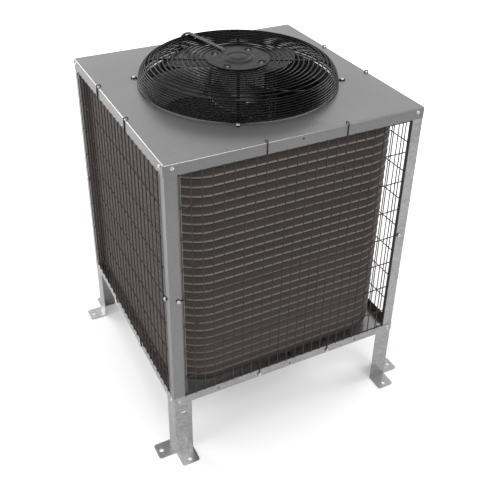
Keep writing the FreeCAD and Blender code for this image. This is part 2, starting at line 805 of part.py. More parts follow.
def build_box_contents():
    can = cylinder("capacitor_can", "size.capacitor_radius", "size.capacitor_length")
    stud = prism("capacitor_terminal", 6, "3", "6")
    place(stud, 0, 0, "size.capacitor_length")
    capacitor = sub_part(fuse("capacitor_body", [can, stud]), "run_capacitor")
    inner_back = f"({half_depth} + size.panel_sheet)"
    place(capacitor, f"{box_right} - size.panel_sheet - size.capacitor_radius - 12",
          f"{inner_back} + size.capacitor_radius", f"{box_bottom} + 30")
    body = new_body("terminal_block")
    base = new_sketch(body, "XZ_Plane", "-size.block_depth")
    draw_box(base, "-size.block_length / 2", "-size.block_width / 2", "size.block_length / 2",
             "size.block_width / 2")
    add_pad(body, base, "size.block_depth")
    slots = new_sketch(body, "XZ_Plane", "-size.block_depth")
    for step in (-1.5, -0.5, 0.5, 1.5):
        middle = f"{step} * size.block_length / 4"
        draw_box(slots, f"{middle} - size.block_length / 11", "-size.block_width / 2 + 2",
                 f"{middle} + size.block_length / 11", "size.block_width / 2 - 2")
    add_pocket(body, slots, "size.block_depth / 2").Reversed = True
    place(body, f"{box_left} + size.block_length / 2 + 12", inner_back, f"{box_bottom} + 60")


# Coil


def row_level(row):
    return f"({coil_top} - {row + 0.5} * size.coil_row_pitch)"


def build_coil():
    body = new_body("coil_fins")
    outer_x = f"({half_width} - size.coil_setback)"
    outer_y = f"({half_depth} - size.coil_setback)"
    inner_x = f"({outer_x} - size.coil_thickness)"
    inner_y = f"({outer_y} - size.coil_thickness)"
    outline = new_sketch(body, "XY_Plane", coil_bottom)
    draw_outline(outline, [
        (f"-{outer_x}", f"-{outer_y}"), (outer_x, f"-{outer_y}"), (outer_x, coil_end),
        (inner_x, coil_end), (inner_x, f"-{inner_y}"), (f"-{inner_x}", f"-{inner_y}"),
        (f"-{inner_x}", coil_end), (f"-{outer_x}", coil_end)])
    slab = add_pad(body, outline, f"{coil_rows} * size.coil_row_pitch")
    corner_x, corner_y = number(outer_x), -number(outer_y)
    inside_x, inside_y = number(inner_x), -number(inner_y)

    def at(edge, x, y):
        middle = edge.CenterOfMass
        return is_upright(edge) and abs(abs(middle.x) - x) < 0.1 and abs(middle.y - y) < 0.1

    rounded = round_edges(body, slab, "size.coil_corner_radius", lambda edge: at(edge, corner_x, corner_y))
    round_edges(body, rounded, "size.coil_corner_radius - size.coil_thickness",
                lambda edge: at(edge, inside_x, inside_y))


def build_end_plates():
    for side, label in ((-1, "coil_end_plate_left"), (1, "coil_end_plate_right")):
        body = new_body(label)
        outline = new_sketch(body, "XZ_Plane", f"-({coil_end} + size.panel_sheet)")
        inner = f"({arm_middle} - size.coil_thickness / 2 - size.end_plate_margin)"
        outer = f"({post_x} - size.post_step_depth - size.panel_sheet)"
        left, right = (inner, outer) if side > 0 else (f"-{outer}", f"-{inner}")
        draw_box(outline, left, pan_floor, right, under_top)
        add_pad(body, outline, "size.panel_sheet")


def return_bend(x, upper_row, pitch, start, stand_off, radius):
    """A half circle of tube, in straight facets, that joins two neighbouring rows."""
    high, low = number(row_level(upper_row)), number(row_level(upper_row + 1))
    middle, swing = (high + low) / 2, pitch / 2
    points = [Vector(x, start, high)]
    for angle in (0, 60, 120, 180):
        turned = math.radians(angle)
        points.append(Vector(x, start + stand_off + swing * math.sin(turned),
                             middle + swing * math.cos(turned)))
    points.append(Vector(x, start, low))
    return many_sided_bar(points, radius)


def build_return_bends():
    start = number(f"{coil_end} + size.panel_sheet")
    x = number(arm_middle)
    pitch = number("size.coil_row_pitch")
    stand_off = number("size.bend_stand_off")
    radius = number("size.coil_tube_radius")
    left = [return_bend(-x, row, pitch, start, stand_off, radius) for row in range(0, coil_rows, 2)]
    right = [return_bend(x, row, pitch, start, stand_off, radius) for row in range(1, coil_rows - 1, 2)]
    shape_part("return_bends", Part.makeCompound(left + right))


def build_line(label, row, outlet_level, radius):
    """A tube from the coil out through the rear panel, its end widened into a socket."""
    start_y = number(f"{coil_end} + size.panel_sheet")
    away_y = number(f"{coil_end} + size.panel_sheet + size.line_stand_off")
    end_y = number(f"{half_depth} + size.line_reach")
    x, line = number(arm_middle), number(line_x)
    high, low = number(row_level(row)), number(outlet_level)
    points = [Vector(x, start_y, high), Vector(x, away_y, high), Vector(line, away_y, high),
              Vector(line, away_y, low), Vector(line, end_y, low)]
    path = bent_points(points, number("size.line_bend_radius"))
    length = number("size.stub_length")
    stub_start = Vector(line, end_y - length, low)
    bore = number(f"{radius} + size.stub_clearance")
    outside = many_sided_bar(path, number(radius), 12)
    inside = many_sided_bar(path, number(f"{radius} - size.tube_wall"))
    stub = Part.makeCylinder(bore + number("size.tube_wall"), length, stub_start, Vector(0, 1, 0))
    socket = Part.makeCylinder(bore, length, stub_start + Vector(0, number("size.tube_wall"), 0),
                               Vector(0, 1, 0))
    shape_part(label, outside.fuse(stub).cut(inside).cut(socket))


def build_line_nuts():
    nuts = []
    for radius, level in (("size.discharge_radius", "size.discharge_height"),
                          ("size.liquid_radius", "size.liquid_height")):
        nut = prism("nut", 6, "size.nut_radius", "size.nut_length")
        bore = cylinder("nut_bore", f"{radius} + size.fit_clearance", "size.nut_length")
        nuts.append(place(cut("line_nut", nut, bore), line_x, half_depth, level, toward["rear"]))
    group("line_nuts", nuts)


def build_coil_supports():
    front_y = f"-({half_depth} - size.coil_setback - size.coil_thickness / 2)"
    for label, x, y, angle in (("coil_support_front", "0", front_y, 0),
                               ("coil_support_left", f"-{arm_middle}", "0", 90),
                               ("coil_support_right", arm_middle, "0", 90)):
        body = new_body(label)
        height = f"({coil_bottom} - {pan_floor})"
        half = "size.support_width / 2"
        wall = "size.panel_sheet"
        profile = new_sketch(body, "XZ_Plane")
        draw_outline(profile, [
            (f"-{half}", "0"), (f"-{half} + {wall}", "0"), (f"-{half} + {wall}", f"{height} - {wall}"),
            (f"{half} - {wall}", f"{height} - {wall}"), (f"{half} - {wall}", "0"), (half, "0"),
            (half, height), (f"-{half}", height)])
        add_pad(body, profile, "size.coil_thickness", both_ways=True)
        place(body, x, y, pan_floor, turn(angle))


# Fan guard and motor mounting


def guard_ring(radius, level, sides):
    """One ring of the guard as a many-sided hoop of square wire."""
    outer = prism("ring_outside", sides, f"{radius} + size.ring_wire_radius", "2 * size.ring_wire_radius")
    inner = prism("ring_inside", sides, f"{radius} - size.ring_wire_radius", "2 * size.ring_wire_radius")
    return place(cut("ring", outer, inner), 0, 0, f"{level} - size.ring_wire_radius", turn(lug_angle))


def build_fan_guard():
    """Rings down the rounded shoulder, and flat rings in from it to the motor plate."""
    rings = []
    for step in range(shoulder_rings):
        angle = 90 * step / shoulder_rings
        radius = f"({shoulder_centre} + size.guard_shoulder_radius * cos({angle} deg))"
        level = f"({shoulder_level} + size.guard_shoulder_radius * sin({angle} deg))"
        rings.append(guard_ring(radius, level, 32))
    group("guard_shoulder_rings", rings)
    rings = []
    crown = f"({plate_under} + size.ring_wire_radius)"
    for step in range(crown_rings + 1):
        radius = f"({shoulder_centre} - {step} * ({shoulder_centre} - size.guard_inner_radius)" \
                 f" / {crown_rings})"
        rings.append(guard_ring(radius, crown, 32 if step < crown_rings / 2 else 24))
    group("guard_crown_rings", rings)


def build_struts():
    """Four flat steel arms that carry the rings and the motor plate."""
    body = new_body("guard_struts")
    body.AllowCompound = True
    outer = "(size.guard_shoulder_radius - 1.5 * size.ring_wire_radius)"
    inner = f"({outer} - size.strut_sheet)"
    foot_low = f"({top_level} + size.collar_height)"
    foot_high = f"({foot_low} + size.strut_sheet)"
    foot_end = f"({collar_flat} - size.strut_foot_inset)"
    corners = [
        (foot_end, foot_low), (foot_end, foot_high),
        (f"{shoulder_centre} + {outer}", foot_high), (f"{shoulder_centre} + {outer}", shoulder_level),
        (shoulder_centre, f"{shoulder_level} + {outer}"), (strut_end, f"{shoulder_level} + {outer}"),
        (strut_end, f"{shoulder_level} + {inner}"), (shoulder_centre, f"{shoulder_level} + {inner}"),
        (f"{shoulder_centre} + {inner}", shoulder_level), (f"{shoulder_centre} + {inner}", foot_low),
    ]
    sketch = new_sketch(body, "XZ_Plane")
    draw_with_arcs(sketch, corners, (shoulder_centre, shoulder_level), {3: (outer, True), 7: (inner, False)},
                   (0, math.pi / 2))
    arm = add_pad(body, sketch, "size.strut_width", both_ways=True)
    hole = new_sketch(body, "XY_Plane", foot_high)
    draw_circle(hole, lug_screw_radius, "0", screw_hole)
    drilled = add_pocket(body, hole, "size.strut_sheet + 1")
    doc.recompute()
    pattern = body.newObject("PartDesign::PolarPattern", "arms")
    pattern.Originals = [arm, drilled]
    upright = [item for item in body.Origin.OriginFeatures if item.Role == "Z_Axis"][0]
    pattern.Axis = (upright, [""])
    pattern.Angle = 360
    pattern.Occurrences = 4
    body.Tip = pattern
    place(body, 0, 0, 0, turn(lug_angle))


def draw_with_arcs(sketch, corners, centre, arcs, span):
    """An outline in which some sides are arcs about one centre.

    Each entry of arcs gives a radius and whether the side runs the arc forwards.
    """
    spots = [Vector(number(x), number(y), 0) for x, y in corners]
    middle = Vector(number(centre[0]), number(centre[1]), 0)
    count = len(spots)
    for index in range(count):
        if index in arcs:
            whole = Part.Circle(middle, Vector(0, 0, 1), number(arcs[index][0]))
            sketch.addGeometry(Part.ArcOfCircle(whole, *span), False)
        else:
            sketch.addGeometry(Part.LineSegment(spots[index], spots[(index + 1) % count]), False)
    for index in range(count):
        following = (index + 1) % count
        end = 1 if index in arcs and not arcs[index][1] else 2
        start = 2 if following in arcs and not arcs[following][1] else 1
        sketch.addConstraint(Sketcher.Constraint("Coincident", index, end, following, start))
    for index, (x, y) in enumerate(corners):
        if index not in arcs:
            fix_point(sketch, index, 1, x, y)
    for index in arcs:
        fix_point(sketch, index, 3, *centre)


def build_motor_plate():
    body = new_body("motor_plate")
    wall = "size.plate_sheet"
    dome = "size.plate_dome_radius"
    rise = "size.plate_dome_height"
    profile = new_sketch(body, "XZ_Plane", "0")
    draw_outline(profile, [
        ("0", f"{plate_under} + {rise}"), (f"{dome} - {rise}", f"{plate_under} + {rise}"),
        (dome, plate_under), ("size.plate_radius", plate_under),
        ("size.plate_radius", f"{plate_under} + {wall}"), (f"{dome} + 1", f"{plate_under} + {wall}"),
        (f"{dome} + 1 - {rise}", f"{plate_under} + {wall} + {rise}"),
        ("0", f"{plate_under} + {wall} + {rise}")])
    add_revolution(body, profile)
    holes = new_sketch(body, "XY_Plane", f"{plate_under} + {wall} + {rise}")
    for quarter in range(4):
        angle = bolt_angle + 90 * quarter
        draw_circle(holes, f"size.motor_bolt_radius * cos({angle} deg)",
                    f"size.motor_bolt_radius * sin({angle} deg)", screw_hole)
    add_pocket(body, holes)


def build_stator():
    """The fixed side of the motor: a bolted flange with the tube that holds the bearings."""
    body = new_body("motor_stator")
    flange_under = f"({plate_under} - size.motor_flange_sheet)"
    tube = "(size.bearing_radius + size.stator_tube_wall)"
    profile = new_sketch(body, "XZ_Plane")
    draw_outline(profile, [
        ("size.bearing_radius", stator_bottom), (tube, stator_bottom), (tube, flange_under),
        ("size.motor_flange_radius", flange_under), ("size.motor_flange_radius", plate_under),
        ("size.bearing_radius", plate_under)])
    add_revolution(body, profile)
    holes = new_sketch(body, "XY_Plane", plate_under)
    for quarter in range(4):
        angle = bolt_angle + 90 * quarter
        draw_circle(holes, f"size.motor_bolt_radius * cos({angle} deg)",
                    f"size.motor_bolt_radius * sin({angle} deg)", screw_hole)
    add_pocket(body, holes, "size.motor_flange_sheet + 1")
    core = cut("core", cylinder("core_outside", "size.rotor_radius - size.rotor_wall - size.air_gap",
                                "size.stator_core_height"),
               cylinder("core_inside", f"{tube} + size.fit_clearance", "size.stator_core_height"))
    place(core, 0, 0, f"{rotor_top} - 20 - size.stator_core_height")
    sub_part(core, "stator_core")
    rings = []
    for level in (stator_bottom, f"{plate_under} - 2 - size.bearing_width"):
        outer = cylinder("race_outside", "size.bearing_radius - size.fit_clearance", "size.bearing_width")
        inner = cylinder("race_inside", "size.shaft_radius + size.running_clearance", "size.bearing_width")
        rings.append(place(cut("bearing", outer, inner), 0, 0, level))
    group("motor_bearings", rings)


def build_rotor():
    """The outer rotor: a cup that turns round the stator, with a rim under the blades."""
    body = new_body("fan_rotor")
    radius = "size.rotor_radius"
    floor = f"({rotor_bottom} + size.rotor_floor)"
    boss = "(2 * size.shaft_radius)"
    bore = "size.shaft_radius + size.fit_clearance"
    profile = new_sketch(body, "XZ_Plane")
    draw_outline(profile, [
        (bore, rotor_bottom), ("size.rotor_rim_radius", rotor_bottom),
        ("size.rotor_rim_radius", f"{rotor_bottom} + 4"), (radius, f"{rotor_bottom} + 4"),
        (radius, rotor_top), (f"{radius} - size.rotor_wall", rotor_top),
        (f"{radius} - size.rotor_wall", floor), (boss, floor), (boss, f"{floor} + 12"),
        (bore, f"{floor} + 12")])
    add_revolution(body, profile)
    shaft = cylinder("shaft_bar", "size.shaft_radius", f"{plate_under} - 3 - {rotor_bottom}")
    sub_part(place(shaft, 0, 0, rotor_bottom), "motor_shaft")


def blade_section(radius, share):
    """One section of a blade, square to its own radius: a thin strip, pitched, bowed and swept."""
    chord = number("size.blade_root_chord") * (1 - share) + number("size.blade_tip_chord") * share
    pitch_angle = number("size.blade_root_pitch") * (1 - share) + number("size.blade_tip_pitch") * share
    pitch = math.radians(pitch_angle)
    half = chord / 2
    thick = number("size.blade_sheet")
    bow = number("size.blade_camber") * chord
    level = number(blade_level) + number("size.blade_tip_lift") * share
    swept = turn(number("size.blade_sweep") * share ** 2)

    def spot(along, up):
        return swept.multVec(Vector(radius, along * math.cos(pitch) + up * math.sin(pitch),
                                    level - along * math.sin(pitch) + up * math.cos(pitch)))

    upper = Part.Arc(spot(-half, thick), spot(0, thick - bow), spot(half, thick)).toShape()
    nose = Part.LineSegment(spot(half, thick), spot(half, 0)).toShape()
    lower = Part.Arc(spot(half, 0), spot(0, -bow), spot(-half, 0)).toShape()
    tail = Part.LineSegment(spot(-half, 0), spot(-half, thick)).toShape()
    return Part.Wire([upper, nose, lower, tail])


def build_blades():
    root = number("size.rotor_radius")
    tip = number("size.throat_radius - size.blade_tip_gap")
    inner, outer = root * 0.6, tip * 1.01
    sections = []
    for step in range(blade_sections):
        radius = inner + (outer - inner) * step / (blade_sections - 1)
        sections.append(blade_section(radius, max(0, (radius - root) / (tip - root))))
    loft = Part.makeLoft(sections, True, True)
    height = 2 * tip
    base = Vector(0, 0, number(blade_level) - height / 2)
    ring = Part.makeCylinder(tip, height, base).cut(Part.makeCylinder(root, height, base))
    blade = loft.common(ring)
    for index in range(blade_count):
        feature = doc.addObject("Part::Feature", f"fan_blade_{index + 1}")
        feature.Shape = blade
        feature.Placement = FreeCAD.Placement(Vector(0, 0, 0), turn(blade_angle + 360 / blade_count * index))
        sub_part(feature, f"fan_blade_{index + 1}")


def build_motor_lead():
    """The motor's lead over the guard, down through the panel and into the terminal box."""
    radius = number("size.lead_radius")
    drop = number(lead_drop_radius)
    plate_top = number(f"{plate_under} + size.plate_sheet")
    high = number(f"{top_level} + size.guard_rise + size.ring_wire_radius") + radius + 1
    low = number(lead_entry_level)
    direction = Vector(math.cos(math.radians(lead_angle)), math.sin(math.radians(lead_angle)), 0)
    start = number("size.lead_start_radius")
    profile = [(start, plate_top), (start, high), (drop, high), (drop, low)]
    points = [direction * across + Vector(0, 0, level) for across, level in profile]
    points.append(Vector(points[-1].x, number(f"{half_depth} + size.panel_sheet + 6"), low))
    bends = [radius * 1.25, number("size.guard_shoulder_radius") + radius, radius * 5]
    shape_part("motor_lead", many_sided_bar(bent_points(points, bends), radius, 8))
    build_grommet("panel_grommet", "size.panel_sheet", lead_entry_x,
                  f"{lead_drop_radius} * sin({lead_angle} deg)", f"{top_level} + size.collar_height", "up")
    build_grommet("box_grommet", "2 * size.panel_sheet", lead_entry_x, f"{half_depth} + size.panel_sheet",
                  lead_entry_level, "rear")


def build_grommet(label, gripped, x, y, z, facing):
    """A rubber bush round the motor's lead, gripping sheet of the given thickness."""
    body = new_body(label)
    bore = "size.lead_radius + size.fit_clearance"
    neck = "size.lead_radius + size.grommet_wall - size.fit_clearance"
    brim = "size.lead_radius + size.grommet_wall + size.grommet_brim"
    lip = "size.grommet_lip"
    profile = new_sketch(body, "XZ_Plane")
    draw_outline(profile, [
        (bore, f"-{gripped} - {lip}"), (brim, f"-{gripped} - {lip}"), (brim, f"-{gripped}"),
        (neck, f"-{gripped}"), (neck, "0"), (brim, "0"), (brim, lip), (bore, lip)])
    add_revolution(body, profile)
    place(body, x, y, z, toward[facing])


# Fasteners


def side_screws(rows):
    """Screws on all four faces: rows give the inset from a corner and the level."""
    screws = []
    for inset, level in rows:
        for sx in (-1, 1):
            screws.append(screw(f"{sx} * ({half_width} - {inset})", f"-{half_depth}", level, "front"))
            screws.append(screw(f"{sx} * ({half_width} - {inset})", half_depth, level, "rear"))
            screws.append(screw(f"-{half_width}", f"{sx} * ({half_depth} - {inset})", level, "left"))
            screws.append(screw(half_width, f"{sx} * ({half_depth} - {inset})", level, "right"))
    return screws


def guard_screws():
    screws = []
    rise = "size.leg_height + size.pan_screw_rise"
    out = "2 * size.wire_radius"
    for hook in front_hooks:
        screws.append(screw(guard_wire_place(hook, half_width), f"-{half_depth} - {out}", rise, "front"))
        across = guard_wire_place(hook, half_depth)
        screws.append(screw(f"-{half_width} - {out}", across, rise, "left"))
        screws.append(screw(f"{half_width} + {out}", across, rise, "right"))
    level = guard_row_level(clip_row)
    seat = "(2 * size.wire_radius - size.panel_sheet)"
    for side in (-1, 1):
        across = f"{side} * ({half_width} - size.clip_screw_inset)"
        along = f"{side} * ({half_depth} - size.clip_screw_inset)"
        screws.append(screw(across, f"-{half_depth} - {seat}", level, "front"))
        screws.append(screw(f"-{half_width} - {seat}", along, level, "left"))
        screws.append(screw(f"{half_width} + {seat}", along, level, "right"))
    return screws


def ring_of_screws(radius, level, first_angle):
    places = [first_angle + 90 * quarter for quarter in range(4)]
    return [screw(f"{radius} * cos({angle} deg)", f"{radius} * sin({angle} deg)", level, "up")
            for angle in places]


def build_leg_bolts():
    bolts, nuts = [], []
    for x, y in mirrored(f"{post_x} - size.leg_flange_width / 2", f"{post_y} - size.leg_flange_width / 2"):
        head = prism("bolt_head", 6, "size.bolt_head_radius", "size.bolt_head_radius * 0.6")
        shank = prism("bolt_shank", 6, "size.bolt_radius", "size.bolt_length")
        place(shank, 0, 0, "-size.bolt_length")
        bolts.append(place(fuse("bolt", [head, shank]), x, y, pan_floor))
        nut = prism("nut", 6, "size.bolt_head_radius", "size.bolt_radius")
        bore = prism("nut_bore", 6, "size.bolt_radius", "size.bolt_radius")
        nuts.append(place(cut("leg_nut", nut, bore), x, y,
                          "size.leg_height - size.leg_sheet - size.bolt_radius"))
    group("leg_bolts", bolts)
    group("leg_nuts", nuts)


def build_screws():
    group("lip_screws", side_screws([("size.lip_screw_inset", f"{top_level} - size.lip_screw_drop")]))
    group("pan_screws", side_screws([("size.pan_screw_inset", "size.leg_height + size.pan_screw_rise")]))
    group("guard_screws", guard_screws())
    panel = []
    for side in (-1, 1):
        for level in (*rear_screw_levels(), guard_row_level(clip_row)):
            panel.append(screw(f"{side} * ({half_width} - size.clip_screw_inset)", half_depth, level, "rear"))
    group("rear_panel_screws", panel)
    group("guard_lug_screws", ring_of_screws(
        lug_screw_radius, f"{top_level} + size.collar_height + size.strut_sheet", lug_angle))
    group("motor_screws", ring_of_screws(
        "size.motor_bolt_radius", f"{plate_under} + size.plate_sheet", bolt_angle))
    middle = f"({box_bottom} + {box_top}) / 2"
    group("box_cover_screws", [
        screw(f"{box_left} - size.panel_sheet", cover_screw_y, middle, "left"),
        screw(f"{box_right} + size.panel_sheet", cover_screw_y, middle, "right")])
    build_leg_bolts()


line_x = f"({half_width} - size.line_inset)"
lead_entry_level = f"({top_level} - size.box_top_drop - size.lead_entry_drop)"
box_left = "(size.box_offset - size.box_width / 2)"
box_right = "(size.box_offset + size.box_width / 2)"
box_top = f"({top_level} - size.box_top_drop)"
box_bottom = f"({box_top} - size.box_height)"
gland_y = f"({half_depth} + size.gland_setback)"
cover_screw_y = f"({half_depth} + size.box_depth - size.cover_overlap / 2)"
shoulder_centre = f"({guard_base} - size.guard_shoulder_radius)"
shoulder_level = f"({top_level} + size.guard_rise - size.guard_shoulder_radius)"
strut_end = "(size.motor_flange_radius + size.edge_clearance)"
rotor_top = f"({plate_under} - size.motor_flange_sheet - size.rotor_top_gap)"
rotor_bottom = f"({rotor_top} - size.rotor_height)"
stator_bottom = f"({rotor_bottom} + size.rotor_floor + 14)"
blade_level = f"({rotor_bottom} + size.blade_rise)"

lead_drop_radius = f"({guard_base} + size.ring_wire_radius + size.lead_radius + size.edge_clearance)"
lead_entry_x = f"({lead_drop_radius} * cos({lead_angle} deg))"

build_base_pan()
build_side_guard("front_guard", half_width, front_hooks, 0, 0, f"-{half_depth}")
build_side_guard("left_guard", half_depth, left_hooks, -90, f"-{half_width}", 0)
build_side_guard("right_guard", half_depth, front_hooks, 90, half_width, 0)
build_top_panel()
build_corner_posts()
build_legs()
build_rear_panel()
build_terminal_box()
build_terminal_cover()
build_cable_gland()
build_box_contents()
build_coil()
build_end_plates()
build_return_bends()
build_line("discharge_line", 0, "size.discharge_height", "size.discharge_radius")
build_line("liquid_line", coil_rows - 1, "size.liquid_height", "size.liquid_radius")
build_line_nuts()
build_coil_supports()
build_fan_guard()
build_struts()
build_motor_plate()
build_stator()
build_rotor()
build_blades()
build_motor_lead()
build_screws()

doc.recompute()
faults = [item.Label for item in doc.Objects if "Invalid" in item.State or "Error" in item.State]
for item in sub_parts:
    if item.Shape.isNull() or not item.Shape.isValid():
        faults.append(item.Label)
if faults:
    raise RuntimeError(f"not built: {faults}")

os.makedirs("parts", exist_ok=True)
for item in sub_parts:
    item.Shape.exportStep(f"parts/{item.Label}.step")
    print(item.Label, len(item.Shape.Solids), round(item.Shape.Volume))
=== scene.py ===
import bmesh
import bpy
from math import atan2, cos, hypot, pi, radians, sin, sqrt
from mathutils import Matrix, Vector


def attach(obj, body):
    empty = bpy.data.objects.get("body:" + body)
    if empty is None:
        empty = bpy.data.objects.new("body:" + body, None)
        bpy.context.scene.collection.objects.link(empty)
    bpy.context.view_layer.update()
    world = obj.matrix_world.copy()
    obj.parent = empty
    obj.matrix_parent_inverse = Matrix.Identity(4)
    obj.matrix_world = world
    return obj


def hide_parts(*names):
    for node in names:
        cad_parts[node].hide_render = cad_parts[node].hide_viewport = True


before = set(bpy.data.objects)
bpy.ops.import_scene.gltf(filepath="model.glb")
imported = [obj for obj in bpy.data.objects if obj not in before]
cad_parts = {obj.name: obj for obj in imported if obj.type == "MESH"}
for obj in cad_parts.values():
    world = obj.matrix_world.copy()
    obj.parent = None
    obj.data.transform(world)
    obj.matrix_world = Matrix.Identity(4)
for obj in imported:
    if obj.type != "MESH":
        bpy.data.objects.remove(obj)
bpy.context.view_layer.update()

# the cabinet's outside, in metres, and how finely round things are cut
cabinet = {"halfWidth": 0.35, "halfDepth": 0.3435, "top": 0.914}
wireSides = 8
turnSteps = 96
weldDistance = 0.00001


# mesh helpers

def edgesAmong(verts):
    chosen = set(verts)
    return list({edge for vert in verts for edge in vert.link_edges
                 if edge.verts[0] in chosen and edge.verts[1] in chosen})


def pull(bm, edges, vector):
    made = bmesh.ops.extrude_edge_only(bm, edges=edges)
    verts = [item for item in made["geom"] if isinstance(item, bmesh.types.BMVert)]
    bmesh.ops.translate(bm, verts=verts, vec=vector)
    return edgesAmong(verts)


def bend(bm, edges, centre, axis, angle, steps):
    verts = list({vert for edge in edges for vert in edge.verts})
    made = bmesh.ops.spin(bm, geom=verts + edges, cent=centre, axis=axis, angle=angle, steps=steps,
                          use_merge=False, use_duplicate=False)
    return edgesAmong([item for item in made["geom_last"] if isinstance(item, bmesh.types.BMVert)])


def facing(direction):
    return Vector(direction).to_track_quat("Z", "Y").to_matrix().to_4x4()


def sweepLoop(bm, edges, points, bends, steps=5):
    # carries a closed loop along straight runs joined by tangent arcs
    first = list(edges)
    start = points[0]
    for index in range(1, len(points) - 1):
        corner, radius = points[index], bends[index - 1]
        back = (points[index - 1] - corner).normalized()
        ahead = (points[index + 1] - corner).normalized()
        half = back.angle(ahead) / 2
        inward = (back + ahead).normalized()
        tangent = corner + back * (radius * cos(half) / sin(half))
        centre = corner + inward * (radius / sin(half))
        edges = pull(bm, edges, tangent - start)
        edges = bend(bm, edges, centre, back.cross(ahead), -(pi - 2 * half), steps)
        start = corner + ahead * (radius * cos(half) / sin(half))
    edges = pull(bm, edges, points[-1] - start)
    bmesh.ops.holes_fill(bm, edges=first + edges, sides=0)


def addBentRod(bm, points, radius, bends):
    points = [Vector(point) for point in points]
    place = Matrix.Translation(points[0]) @ facing(points[1] - points[0])
    ring = bmesh.ops.create_circle(bm, segments=wireSides, radius=radius, matrix=place)["verts"]
    sweepLoop(bm, edgesAmong(ring), points, bends)


def addRod(bm, start, end, radius):
    start, end = Vector(start), Vector(end)
    place = Matrix.Translation((start + end) / 2) @ facing(end - start)
    bmesh.ops.create_cone(bm, cap_ends=True, segments=wireSides, radius1=radius, radius2=radius,
                          depth=(end - start).length, matrix=place)


def addTurned(bm, profile, steps=turnSteps, closed=False):
    # turns a line of (radius, height) points about the upright axis
    verts = [bm.verts.new((radius, 0, height)) for radius, height in profile]
    pairs = list(zip(verts, verts[1:])) + ([(verts[-1], verts[0])] if closed else [])
    edges = [bm.edges.new(pair) for pair in pairs]
    bmesh.ops.spin(bm, geom=verts + edges, cent=(0, 0, 0), axis=(0, 0, 1), angle=2 * pi, steps=steps,
                   use_merge=True, use_duplicate=False)


def finishPiece(name, bm, material, stands, sharp, body="cabinet", merge=True):
    if merge:
        bmesh.ops.remove_doubles(bm, verts=bm.verts, dist=weldDistance)
    bmesh.ops.recalc_face_normals(bm, faces=bm.faces)
    mesh = bpy.data.meshes.new(name)
    bm.to_mesh(mesh)
    bm.free()
    mesh.shade_smooth()
    mesh.set_sharp_from_angle(angle=radians(sharp))
    mesh.materials.append(material)
    piece = bpy.data.objects.new(name, mesh)
    bpy.context.scene.collection.objects.link(piece)
    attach(piece, body)
    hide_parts(*stands)
    return piece


# material helpers

def startMaterial(name, colour, roughness, metallic=0.0):
    material = bpy.data.materials.new(name)
    material.use_nodes = True
    tree = material.node_tree
    shader = tree.nodes["Principled BSDF"]
    shader.inputs["Base Color"].default_value = (*colour, 1)
    shader.inputs["Roughness"].default_value = roughness
    shader.inputs["Metallic"].default_value = metallic
    return material, tree, shader


def addNode(tree, kind, values=None, **settings):
    node = tree.nodes.new(kind)
    for name, value in settings.items():
        setattr(node, name, value)
    for name, value in (values or {}).items():
        if isinstance(value, bpy.types.NodeSocket):
            tree.links.new(value, node.inputs[name])
        else:
            node.inputs[name].default_value = value
    return node


def noise(tree, vector, scale, detail, roughness=0.5):
    node = addNode(tree, "ShaderNodeTexNoise",
                   {"Vector": vector, "Scale": scale, "Detail": detail, "Roughness": roughness})
    return node.outputs["Fac"]


def calc(tree, operation, first, second=0.5):
    node = addNode(tree, "ShaderNodeMath", {0: first, 1: second}, operation=operation)
    return node.outputs[0]


def rescale(tree, value, low, high, newLow, newHigh):
    node = addNode(tree, "ShaderNodeMapRange", {"Value": value, "From Min": low, "From Max": high,
                                                "To Min": newLow, "To Max": newHigh})
    return node.outputs[0]


def blendColours(tree, factor, first, second, how="MIX"):
    node = addNode(tree, "ShaderNodeMix", data_type="RGBA", blend_type=how)
    for socket, value in ((node.inputs[0], factor), (node.inputs[6], first), (node.inputs[7], second)):
        if isinstance(value, bpy.types.NodeSocket):
            tree.links.new(value, socket)
        else:
            socket.default_value = (*value, 1) if isinstance(value, tuple) else value
    return node.outputs[2]


def addBump(tree, shader, height, strength, distance):
    node = addNode(tree, "ShaderNodeBump", {"Height": height, "Strength": strength, "Distance": distance})
    tree.links.new(node.outputs[0], shader.inputs["Normal"])


def objectPlace(tree):
    return addNode(tree, "ShaderNodeTexCoord").outputs["Object"]


# materials

galvanisedLook = {"dark": (0.205, 0.206, 0.209), "light": (0.275, 0.276, 0.279), "metallic": 0.82,
                  "rough": 0.45, "roughLow": 0.27, "roughHigh": 0.34, "spangle": 320.0, "patch": 0.16,
                  "cloud": 5.0, "cloudShare": 0.40, "grain": 900.0, "grainShare": 0.50,
                  "driftScale": 60.0, "drift": 0.006, "mixLow": 0.25, "mixHigh": 0.85, "bump": 0.06,
                  "bumpDepth": 0.0003}


